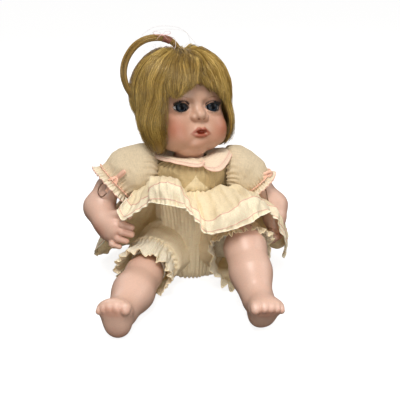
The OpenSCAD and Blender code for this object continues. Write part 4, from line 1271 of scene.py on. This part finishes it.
def build_sleeve(side):
    s = -1 if side == "right" else 1
    if side == "right":
        rows = [(-33.5, -6, 105.5, 17, 19), (-38, -7, 107.5, 22.5, 22.5), (-46, -8.5, 108.3, 24.2, 24),
                (-55, -10, 106.6, 24.4, 23.8),
                (-64, -11.5, 103.5, 24.0, 22), (-69.5, -13, 99.4, 21.2, 18.5),
                (-71.6, -13.4, 97.8, 20.6, 17.6), (-74.2, -13.9, 95.9, 22.5, 19),
                (-77.2, -14.6, 93.7, 25.0, 20.5)]
        d0, d1 = unit((-1, -0.05, 0.05)), unit((-0.76, -0.18, -0.62))
    else:
        rows = [(33.5, -6, 105, 17, 19), (38, -6.5, 106.5, 21.5, 21.5), (45, -7.5, 105.6, 22.4, 22.6),
                (52, -8.5, 102.4, 21.2, 21.4),
                (58, -9.5, 98.5, 19.0, 19), (61.0, -10.3, 95.0, 17.0, 17), (62.4, -10.6, 93.2, 16.4, 16.4),
                (64.2, -11.0, 91.0, 18, 18), (66.2, -11.6, 88.6, 20.0, 20)]
        d0, d1 = unit((1, -0.05, 0.05)), unit((0.64, -0.12, -0.76))
    R, n = 96, 300
    k = table(rows, R)
    u = np.linspace(0, 1, R)
    d = unit(mix(d0, d1, smooth(0.1, 0.75, u)[:, None]))
    up = unit(np.cross(np.cross(d, V(0, 0, 1)), d))
    ac = np.cross(d, up) * -s
    P = rings(k[:, :3], ac, up, k[:, 4], k[:, 3], n)
    N = grid_normal(P, True)
    gather = smooth(0.45, 0.72, u)[:, None]
    head = smooth(0.30, 0.04, u)[:, None]
    edge = smooth(0.76, 1.0, u)[:, None]
    w = 1.1 * pleats(n, 34, 21)[None] * gather * (1 - 0.4 * smooth(0.72, 0.78, u)[:, None])
    w = w + 1.0 * pleats(n, 30, 27)[None] * head
    w = w + 1.5 * edge * pleats(n, 26, 33)[None]
    w = w + 1.6 * value_noise(P / 13.0, 7) * smooth(0, 0.2, u)[:, None] * smooth(0.8, 0.6, u)[:, None]
    w = w + 0.5 * value_noise(P / 4.5, 8)
    P = P + N * w[..., None] * (1 if (N[R // 2, 0] @ up[R // 2]) > 0 else -1)
    # The sleeves are a darker cream than the rest of the dress: painted shade from inside the sheer puff;
    # their frilled edge is whiter.
    tone = mix(np.broadcast_to(srgb(226, 209, 179), P.shape), WHITE,
               (0.75 * edge * np.ones((1, n)))[..., None])
    o = cloth(f"puff_sleeve_{side}", P, f"arm_{side}", VOILE, 0.4, True, tone)
    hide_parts(f"sleeve_{side}")
    i = int(0.745 * R)
    ring = P[i] + 0.9 * unit(P[i] - k[i, :3])
    v, f = tube(lerp_path(np.vstack([ring, ring[:1]]), 220), 2.0, 8, up=tuple(d1), flat=0.35)
    band = new_mesh(f"sleeve_ribbon_band_{side}", v, f, SALMON, f"arm_{side}")
    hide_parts(f"sleeve_ribbon_{side}")
    row = P[R - 1]
    v, f = tube(lerp_path(np.vstack([row, row[:1]]), 400), 0.42, 6)
    st = new_mesh(f"sleeve_edge_thread_{side}", v, f, THREAD, f"arm_{side}")
    if side == "right":
        at = (-70.5, -31.0, 108.5)
        parts = bow_parts(at, (-0.75, 0.2, -0.5), (-0.35, -0.9, 0.2), (0.45, -0.1, 0.9), 1.1, 3.2)
        o = new_mesh("sleeve_bow_right", *join(parts), SALMON, "arm_right")
        path = [(-73, -32.5, 107), (-80, -29, 105), (-86, -26, 99.5), (-88.5, -25, 92), (-85, -26, 88.5),
                (-80.5, -28, 92.5)]
    else:
        parts = bow_parts((66.5, -22.5, 104.5), (0.9, 0.2, -0.1), (0.25, -0.95, 0.2), (0.05, 0.1, 1), 1.1,
                          3.0)
        o = new_mesh("sleeve_bow_left", *join(parts), SALMON, "arm_left")
        path = [(66.5, -23.5, 104), (68.5, -25.5, 97), (70.5, -27, 88), (72, -29, 80), (74, -31, 73)]
    line = lerp_path(path, 40)
    o2 = new_mesh(f"sleeve_brown_tie_{side}", *tube(line, 0.55, 8), TAUPE, f"arm_{side}")


BUTTON = satin_material("pearly_button", srgb(240, 230, 214))


def build_top():
    build_bodice()
    build_collar()
    build_sleeve("right")
    build_sleeve("left")


# ---------------------------------------------------------------- skirt and bloomers

# Ribs round the skirt from the doll's right side, over the front, to its left side and back along the
# floor: hem, seam of the hem band, crest.
RIBS = [((-96.4, 8, 15.9), (-91.6, 8, 31.3), (-74, 2, 70)), ((-78, -18, 50), (-73, -16, 62), (-64, -12, 80)),
        ((-58.8, -35, 88.9), (-56, -32, 90.6), (-53, -26, 92.1)),
        ((-69.8, -45, 83.3), (-60.5, -41, 89.6), (-50.2, -32, 96.5)),
        ((-64.5, -56, 75.8), (-56, -50, 88.1), (-46.4, -36, 100.9)),
        ((-53.3, -62, 85.6), (-47.6, -56, 96.9), (-41.7, -41, 106.7)),
        ((-41.6, -69, 97.5), (-40.4, -63, 106.8), (-37.2, -45, 111.8)),
        ((-33.8, -74, 98.7), (-33.4, -68, 114.3), (-30.6, -48, 115.0)),
        ((-25.3, -78, 98.6), (-24.8, -71, 117.0), (-23.8, -49, 115.4)),
        ((-14.9, -78, 95.9), (-16.1, -70, 112.0), (-15.2, -50, 110.4)),
        ((-7, -76, 90.6), (-9.1, -68, 101.0), (-10.0, -49, 100.7)),
        ((0, -76, 79.9), (-0.4, -68, 88.4), (-4.6, -48, 94.4)),
        ((8.5, -80, 70.7), (8.2, -72, 78.7), (3.6, -46, 94.0)),
        ((21.3, -84, 73.9), (21.6, -78, 86.5), (17.0, -46, 96.3)),
        ((35.3, -84, 77.7), (33.8, -78, 93.6), (28.0, -44, 100.4)),
        ((48.3, -80, 81.2), (43.4, -72, 99.8), (39.2, -40, 98.0)),
        ((58.1, -74, 84.6), (53.7, -64, 97.4), (49.0, -34, 94.3)),
        ((69.6, -62, 79.8), (65.2, -52, 88.1), (60.0, -27, 87)),
        ((79.4, -54, 64.2), (76.5, -46, 74), (69.0, -22, 78)),
        ((87.9, -44, 38.8), (86, -40, 54.3), (79.0, -22, 72.3)),
        ((91.2, -26, 17.8), (93.0, -21, 35.7), (87.5, -10, 66.7)),
        ((98.4, -2, 20.4), (96.1, 0, 38.1), (86, 4, 64.0)),
        ((94, 18, 8), (88, 16, 22), (74, 14, 50)), ((78, 44, 2.5), (68, 38, 14), (52, 30, 42)),
        ((54, 62, 2.0), (46, 53, 15), (34, 40, 42)), ((28, 70, 2.0), (23, 61, 15), (17, 46, 42)),
        ((0, 72, 2.0), (0, 62, 15), (0, 47, 42)), ((-28, 70, 2.0), (-23, 61, 15), (-17, 46, 42)),
        ((-54, 62, 2.0), (-46, 53, 15), (-34, 40, 42)), ((-78, 44, 2.5), (-68, 38, 14), (-52, 30, 42)),
        ((-94, 22, 6), (-88, 20, 22), (-72, 14, 52))]


SKIRT_ROWS, BAND_ROWS, SKIRT_COLS = 70, 26, 900


def skirt_grid():
    R = np.array(RIBS, float)
    a = np.arctan2(R[:, 2, 0], -R[:, 2, 1])
    waist = np.stack([-1 + 37.0 * np.sin(a), -0.5 - 31.0 * np.cos(a), 87.0 + 0 * a], 1)
    rise = smooth(40, 100, R[:, 2, 2])[:, None]
    mid = mix(waist, R[:, 2], 0.42) + V(0, 0, 1) * mix(3.0, 5.0, rise)
    K = np.stack([waist, mid, R[:, 2], R[:, 1], R[:, 0]])
    m = K.shape[1]
    K = np.concatenate([K, K, K], 1).swapaxes(0, 1)
    t = np.linspace(m, 2 * m, SKIRT_COLS, endpoint=False)
    i = t.astype(int)
    K = spline(K, i - 1, (t - i)[:, None, None]).swapaxes(0, 1)
    s = np.concatenate([np.linspace(0, 3, SKIRT_ROWS, endpoint=False), np.linspace(3, 4, BAND_ROWS)])
    j = np.minimum(s.astype(int), 3)
    P = spline(with_ends(K), j, (s - j)[:, None, None])
    N = grid_normal(P, True)
    v = s[:, None] / 4
    ang = around(SKIRT_COLS)
    fine = pleats(SKIRT_COLS, 74, 41)[None]
    wide = pleats(SKIRT_COLS, 33, 47)[None]
    d = 1.5 * fine * smooth(0.42, 0.02, v) * smooth(0, 0.03, v) + 1.0 * wide * smooth(0.25, 0.6, v)
    ring = np.stack([np.cos(ang), np.sin(ang)], 1)
    at = np.concatenate([np.broadcast_to(ring[None] * 9, (len(s), SKIRT_COLS, 2)),
                         np.broadcast_to((v * 5)[..., None], (len(s), SKIRT_COLS, 1))], -1)
    d = d + 2.5 * value_noise(at, 51) * smooth(0.05, 0.3, v) + 0.8 * value_noise(at * 2.6, 52)
    d = d + 0.9 * pleats(SKIRT_COLS, 58, 57)[None] * smooth(0.9, 1.0, v)
    P = P + N * d[..., None]
    P[..., 2] = np.maximum(P[..., 2], 0.5 + 0.3 * np.sin(ang * 90)[None])
    return P


def build_skirt():
    P, top = skirt_grid(), SKIRT_ROWS
    hem = P[-1]
    front = int(np.argmin(np.where(hem[:, 1] < 0, np.abs(hem[:, 0]), 999)))
    back = int(np.argmin(np.where(hem[:, 1] > 0, np.abs(hem[:, 0]), 999)))
    if back < front:
        back += SKIRT_COLS
    P = np.concatenate([P, P], 1)
    halves = {"left": P[:, front:back + 1], "right": P[:, back:front + SKIRT_COLS + 1]}
    tone = mix(CREAM, srgb(236, 218, 184), 0.25)
    for side, g in halves.items():
        # the left half lies on the knee, attached to no body, its placement baked in; the right half stays
        # under the hand, on the root
        link = ("root", "leg_left", (36.8, -27.6, 80), (80.0, -60.0, 80)) if side == "left" else None
        body = None if link else "root"
        a = cloth(f"skirt_{side}", g[:top + 1], body, VOILE, 0.4, False,
                  np.broadcast_to(tone, g[:top + 1].shape), link, srgb(255, 236, 198), True)
        b = cloth(f"hem_band_{side}", g[top:], body, DOTTED, 0.5, False, mix(CREAM, WHITE, 0.45), link,
                  srgb(255, 240, 208), True)
        if side == "left":
            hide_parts("skirt")
            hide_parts("skirt_hem_band")
        N = grid_normal(g)
        lines = []
        for row, rad in ((top, 0.42), (top + 19, 0.34), (len(g) - 1, 0.5)):
            v, f = tube(g[row] - N[row] * 0.35, rad, 6)
            lines.append((v, f))
        v, f = join(lines[:2])
        st = new_mesh(f"hem_stitch_{side}", v, f, THREAD, body)
        v, f = lines[2]
        roll = new_mesh(f"hem_roll_{side}", v, f, DOTTED, body, WHITE)
        for q in (st, roll) if link else ():
            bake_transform(q)


def build_bloomer_leg(side, knee, ankle):
    """One cloth leg of the bloomers with its frill, from the hip to below the knee."""
    s = -1 if side == "right" else 1
    knee, d = V(*knee), unit(V(*ankle) - V(*knee))
    up = unit(np.cross(np.cross(d, V(0, 0, 1)), d))
    R, n = 120, 360
    if side == "right":
        rows = [(s * 17, -2, 31, 27, 26), (s * 24, -14, 31, 28.5, 27), (s * 32, -28, 29, 28, 26.5),
                (-38.5, -38, 27, 26.5, 25.5),
                (-40.0, -38.5, 26.6, 23.5, 23.6), (-40.9, -40.5, 26.4, 22.6, 22.6),
                (-43.6, -46.6, 25.2, 23.6, 22.6), (-49.4, -60, 23.6, 27.5, 23.4)]
    else:
        rows = [(17, -2, 31, 27, 26), (24, -14, 34, 28.5, 27), (32, -28, 40, 28, 26.5),
                (38, -41, 47, 26, 25.5),
                (39.2, -44, 48.4, 23.5, 22.4), (40.0, -46, 49.6, 23.0, 21.4),
                (41.2, -51, 51.2, 25.5, 20.6), (42.8, -61, 51.6, 30.5, 20.0)]
    k = table(rows, R)
    t = np.linspace(0, 1, R)[:, None]
    dd = unit(mix(unit(V(s * 0.4, -0.9, 0.1)), d, smooth(0.2, 0.8, t)))
    uu = unit(np.cross(np.cross(dd, V(0, 0, 1)), dd))
    aa = np.cross(dd, uu)
    aa = aa * np.sign(aa[:, :1])
    P = rings(k[:, :3], aa, uu, k[:, 3], k[:, 4], n)
    ang = around(n)
    if side == "left":  # its lower side sags to the floor
        low = np.clip(-np.cos(ang), 0, 1)[None, :, None] ** 1.4
        floor = k[:, :3] * V(1, 1, 0) + V(0, 0, 2.0) + V(-3, 4, 0)
        drop = floor - (k[:, :3] - uu * k[:, 4:5])
        P = P + low * drop[:, None] * smooth(0.15, 0.6, t)[:, None]
    N = grid_normal(P, True)
    if (N[R // 2, 0] @ up) < 0:
        N = -N
    gather = smooth(0.40, 0.70, t)
    edge = smooth(0.74, 1.0, t)
    w = 1.5 * pleats(n, 30, 71 + s)[None] * gather * (1 - 0.45 * smooth(0.70, 0.76, t))
    w = w + 2.6 * edge * pleats(n, 14, 75 + s, 0.5)[None] + 1.1 * edge * pleats(n, 39, 77 + s)[None]
    w = w + 2.0 * value_noise(P / 12.0, 78) * smooth(0.8, 0.5, t) + 0.6 * value_noise(P / 4.5, 79)
    P = P + N * w[..., None] + (dd * 1.6)[:, None] * (edge * pleats(n, 14, 81 + s, 0.6)[None])[..., None]
    P[..., 2] = np.maximum(P[..., 2], 0.5 + 0.4 * np.sin(ang * 40)[None] * edge)
    link = ("root", f"leg_{side}", (s * 20, -6, 30), (s * 36, -34, 30))
    cut = int(0.72 * R)
    # A whiter cream than the skirt above, whitening towards the frill: painted light on the bloomer leg in
    # the skirt's shade, for the light coming through the voile.
    tone = mix(np.broadcast_to(srgb(255, 240, 208), P.shape), WHITE,
               smooth(0.5, 0.75, t)[..., None] * 0.8)
    a = cloth(f"bloomer_leg_cloth_{side}", P[:cut + 1], None, VOILE, 0.4, True, tone[:cut + 1], link,
              srgb(255, 236, 200), side == "right")
    b = cloth(f"bloomer_frill_{side}", P[cut:], f"leg_{side}", DOTTED, 0.45, True, WHITE, None,
              srgb(255, 240, 210), side == "right")
    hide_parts(f"bloomer_leg_{side}")
    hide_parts(f"bloomer_ruffle_{side}")
    row = P[R - 1]
    v, f = tube(np.vstack([row, row[:1]]), 0.34, 6)
    st = new_mesh(f"frill_thread_{side}", v, f, DOTTED, f"leg_{side}", CREAM)


def build_bloomers():
    n, R = 420, 110
    k = table([(0.8, 6, 16, 27), (2.5, 6, 24, 34.5), (10, 5, 29, 38.5), (26, 4, 31, 40.5), (45, 3, 32, 41),
               (62, 1.5, 33, 38.5), (76, 0, 34, 34.5), (86, -0.5, 34, 30.5)], R)
    P = rings(np.stack([0 * k[:, 0], k[:, 1], k[:, 0]], 1), np.tile([1, 0, 0], (R, 1)),
              np.tile([0, -1, 0], (R, 1)), k[:, 2], k[:, 3], n)
    N = grid_normal(P, True)
    z = k[:, 0][:, None]
    d = 1.0 * pleats(n, 40, 61)[None] * smooth(60, 8, z) + 0.7 * pleats(n, 62, 63)[None] * smooth(30, 84, z)
    d = d + 3.4 * value_noise(P / V(11, 11, 55), 64) + 1.1 * value_noise(P / V(5, 5, 22), 66)
    d = d + 0.5 * value_noise(P / 4, 65)
    P = P + N * d[..., None]
    P[..., 2] = np.maximum(P[..., 2], 0.5)
    # A whiter cream than the skirt above: painted light on the bloomers in the skirt's shade, for the light
    # coming through the voile.
    tone = srgb(255, 240, 208)
    o = cloth("bloomer_seat", P, "root", VOILE, 0.4, True, tone)
    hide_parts("bloomers")
    build_bloomer_leg("right", (-45, -50, 24), (-71, -114, 16.5))
    build_bloomer_leg("left", (44, -58, 55), (53, -111, 21))


# ---------------------------------------------------------------- what the clothes hide: the stuffed body

def muslin_material():
    n = Nodes("muslin_cloth")
    weave = n.noise(900, 2.0, 0.5, (1, 1, 1))
    n.set(Base_Color=n.ramp(weave, [(0.3, srgb(214, 200, 176)), (0.7, srgb(238, 228, 208))]), Roughness=0.9)
    n.bump(weave, 0.3, 0.0004)
    return n.m


def speckle_material(name, low, high, scale, rough=0.7):
    n = Nodes(name)
    grain = n.noise(scale, 3.0)
    n.set(Base_Color=n.ramp(grain, [(0.35, srgb(*low)), (0.65, srgb(*high))]), Roughness=rough)
    n.bump(grain, 0.25, 0.0005)
    return n.m


TORSO = [(1.4, 6, 19, 29), (5, 6, 22, 33), (12, 6, 23, 35), (44, 6, 23, 34), (60, 4, 31, 31), (82, 0, 35, 29),
         (98, -4, 34.5, 29), (108.5, -7, 32.5, 27), (113.6, -9, 28, 22), (116, -10, 19, 19)]


def stuffed(name, keys, node, material, body="root", lumps=0.8, along=False):
    """Closed padded shape over oval rings stacked in z, or round ones along a route; its ends pucker."""
    k = table(keys, 60)
    n = 120
    if not along:
        c = np.stack([0 * k[:, 0], k[:, 1], k[:, 0]], 1)
        a, b = np.tile([1.0, 0, 0], (60, 1)), np.tile([0, -1.0, 0], (60, 1))
        ra, rb = k[:, 2], k[:, 3]
    else:
        c = k[:, :3]
        _, a, b = frames(c)
        ra = rb = k[:, 3]
    P = rings(c, a, b, ra, rb, n)
    u = np.linspace(0, 1, 60)[:, None]
    N = unit(P - c[:, None])
    w = lumps * value_noise(P / 10.0, 91) + 0.6 * pleats(n, 22,
            93)[None] * (smooth(0.25, 0.0, u) + smooth(0.75, 1, u))
    P = P + N * w[..., None]
    v = np.vstack([P.reshape(-1, 3), c[:1], c[-1:]])
    i = np.arange(n)
    j = (i + 1) % n
    e = 59 * n
    f = [grid_faces(60, n, True), np.stack([j, i, np.full(n, 60 * n)], 1),
         np.stack([e + i, e + j, np.full(n, 60 * n + 1)], 1)]
    o = new_mesh(name, v, f, material, body)
    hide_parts(node)
    return o


def build_inner():
    cloth_m = muslin_material()
    fluff = speckle_material("white_fluff", (226, 224, 220), (250, 249, 246), 400, 0.95)
    beads = speckle_material("plastic_pellets", (206, 204, 200), (240, 238, 234), 900, 0.4)
    fibre = speckle_material("pressed_fibre", (120, 88, 60), (156, 120, 86), 500, 0.8)
    cord = speckle_material("twisted_cotton", (214, 206, 190), (240, 234, 222), 1200, 0.9)
    plaster = speckle_material("dry_plaster", (222, 218, 208), (240, 237, 230), 300, 0.9)
    stuffed("torso_cloth", TORSO, "torso_cover", cloth_m)
    stuffed("torso_stuffing", [(z + 1.5, y, a - 2.6, b - 2.6) for z, y, a, b in TORSO[:-1]], "torso_filling",
            fluff)
    stuffed("seat_pellets", [(5.2, 8, 6, 14), (6.2, 8, 8.5, 18), (9, 8, 9, 19), (11.2, 8, 6, 14)],
            "pellet_bag", beads, lumps=0.3)
    for side, s in (("right", -1), ("left", 1)):
        route = [(s * 27, -4, 107, 9), (s * 34, -4, 106.5, 11), (s * 44, -5.5, 104, 11),
                 (s * 54, -7.5, 100, 10), (s * 60, -8.5, 97, 8.8)]
        stuffed(f"cloth_upper_arm_{side}", route, f"upper_arm_{side}", cloth_m, f"arm_{side}",
                lumps=0.4, along=True)
        knee = {"right": (-45, -50, 24), "left": (44, -58, 55)}[side]
        hip = V(s * 24, -2, 27)
        d = unit(V(*knee) - hip)
        route = [(*(hip + d * t * np.linalg.norm(V(*knee) - hip)), r) for t,
                 r in ((0, 13), (0.12, 16), (0.5, 16.5), (0.86, 15.5), (1.02, 13.5))]
        stuffed(f"cloth_thigh_{side}", route, f"thigh_{side}", cloth_m, f"leg_{side}", lumps=0.6,
                along=True)
        # cord wound in the groove of the porcelain, over the cloth
        for limb, at, axis, r in (("arm", V(s * 60, -8.6, 98), V(s * 0.75, -0.06, -0.5), 11.2),
                                  ("leg", V(*knee) - 2.0 * d, d, 17.2)):
            a = np.linspace(0, 6 * np.pi, 160)
            axis = unit(axis)
            e1 = unit(np.cross(axis, V(0, 0, 1)))
            e2 = np.cross(axis, e1)
            p = at + r * (np.cos(a)[:, None] * e1 + np.sin(a)[:, None] * e2) + axis * (a / (2 * np.pi) * 1.05
                    - 1.5)[:, None]
            o = new_mesh(f"wound_tie_{limb}_{side}", *tube(p, 0.5, 8), cord, f"{limb}_{side}")
            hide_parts(f"{limb}_tie_{side}")
        for node in (f"arm_disc_{side}", f"leg_disc_{side}"):
            bpy.data.objects[node].material_slots[0].material = fibre
        # plaster bowl behind the eye
        la, lo = np.linspace(0.0, 1.25, 20), around(48)
        la, lo = np.meshgrid(la, lo, indexing="ij")
        p = np.stack([np.sin(la) * np.cos(lo), np.cos(la), np.sin(la) * np.sin(lo)], -1) * 9.2 + V(s * EYE_X,
                EYE_Y, EYE_Z)
        v, f = shell(to_world(p.reshape(-1, 3)).reshape(p.shape), 1.4, True)
        o = new_mesh(f"plaster_eye_bowl_{side}", v, f, plaster, "head")
        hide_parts(f"eye_setting_{side}")
    bpy.data.objects["torso_discs"].material_slots[0].material = fibre
    a = np.linspace(0.12, 2 * np.pi - 0.12, 90)
    ring = np.stack([-2 + 16.2 * np.sin(a), -10 + 16.2 * np.cos(a), 117.6 + 0 * a], 1)
    o = new_mesh("neck_draw_cord", *tube(ring, 0.8, 10), cord, "root")
    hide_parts("neck_drawstring")


build_head()
build_eyes()
build_lashes()
build_wig()
build_limbs()
build_top()
build_skirt()
build_bloomers()
build_inner()


# ---------------------------------------------------------------- floor, light and camera

def build_stage():
    n = Nodes("backdrop")
    n.set(Base_Color=(0.35, 0.35, 0.35, 1), Roughness=0.95, Specular_IOR_Level=0.0,
          Emission_Color=(1, 1, 1, 1), Emission_Strength=0.86)
    a = around(64)
    ring = np.stack([np.cos(a), np.sin(a), 0 * a], 1)
    v = np.vstack([[[0, 0, 0]], ring * 14000])
    f = np.stack([np.zeros(64, int), 1 + np.arange(64), 1 + (np.arange(64) + 1) % 64], 1)
    floor = new_mesh("floor", v - V(0, 0, 0.05), f, n.m)
    floor.visible_diffuse = False
    floor.visible_glossy = False


def area(name, at, look, size, power, colour=(1, 1, 1)):
    d = bpy.data.lights.new(name, "AREA")
    d.energy, d.size, d.color = power, size, colour
    o = bpy.data.objects.new(name, d)
    bpy.context.scene.collection.objects.link(o)
    o.location = Vector(at)
    o.rotation_euler = (Vector(look) - Vector(at)).to_track_quat("-Z", "Y").to_euler()


def build_view():
    w = bpy.data.worlds.new("soft_room")
    bpy.context.scene.world = w
    w.use_nodes = True
    t = w.node_tree
    bg = next(n for n in t.nodes if n.type == "BACKGROUND")
    out = next(n for n in t.nodes if n.type == "OUTPUT_WORLD")
    co = t.nodes.new("ShaderNodeTexCoord")
    sep = t.nodes.new("ShaderNodeSeparateXYZ")
    ramp = t.nodes.new("ShaderNodeValToRGB")
    t.links.new(co.outputs["Generated"], sep.inputs[0])
    t.links.new(sep.outputs["Z"], ramp.inputs["Fac"])
    ramp.color_ramp.elements[0].position = 0.0
    ramp.color_ramp.elements[0].color = (0.16, 0.13, 0.10, 1)
    ramp.color_ramp.elements[1].position = 0.55
    ramp.color_ramp.elements[1].color = (1.0, 0.98, 0.95, 1)
    t.links.new(ramp.outputs["Color"], bg.inputs["Color"])
    bg.inputs["Strength"].default_value = 0.40
    white = t.nodes.new("ShaderNodeBackground")
    white.inputs["Color"].default_value = (1, 1, 1, 1)
    white.inputs["Strength"].default_value = 1.0
    path = t.nodes.new("ShaderNodeLightPath")
    both = t.nodes.new("ShaderNodeMixShader")
    t.links.new(path.outputs["Is Camera Ray"], both.inputs[0])
    t.links.new(bg.outputs[0], both.inputs[1])
    t.links.new(white.outputs[0], both.inputs[2])
    t.links.new(both.outputs[0], out.inputs["Surface"])
    area("key", (-0.12, -0.58, 1.08), (0, 0, 0.08), 0.42, 8.6, (1, 0.975, 0.94))
    area("front", (0.05, -1.3, 0.14), (0, 0, 0.04), 0.8, 7.5, (1, 0.965, 0.91))
    area("back", (-0.5, 1.0, 0.9), (0, 0, 0.08), 0.8, 5.0, (1, 0.985, 0.96))
    area("side", (0.75, -0.15, 0.45), (0, 0, 0.1), 0.5, 1.6, (1, 0.98, 0.95))
    cam = bpy.data.cameras.new("camera")
    cam.lens, cam.sensor_width = 60.48, 36
    o = bpy.data.objects.new("camera", cam)
    bpy.context.scene.collection.objects.link(o)
    az, el, dist = math.radians(-5), math.radians(21), 0.65
    back = Vector((math.sin(az) * math.cos(el), -math.cos(az) * math.cos(el), math.sin(el)))
    target = Vector((0.008, -0.015, 0.078))
    o.location = target + back * dist
    o.rotation_euler = (-back).to_track_quat("-Z", "Y").to_euler()
    bpy.context.scene.camera = o
    bpy.context.scene.view_settings.view_transform = "Standard"


build_stage()
build_view()
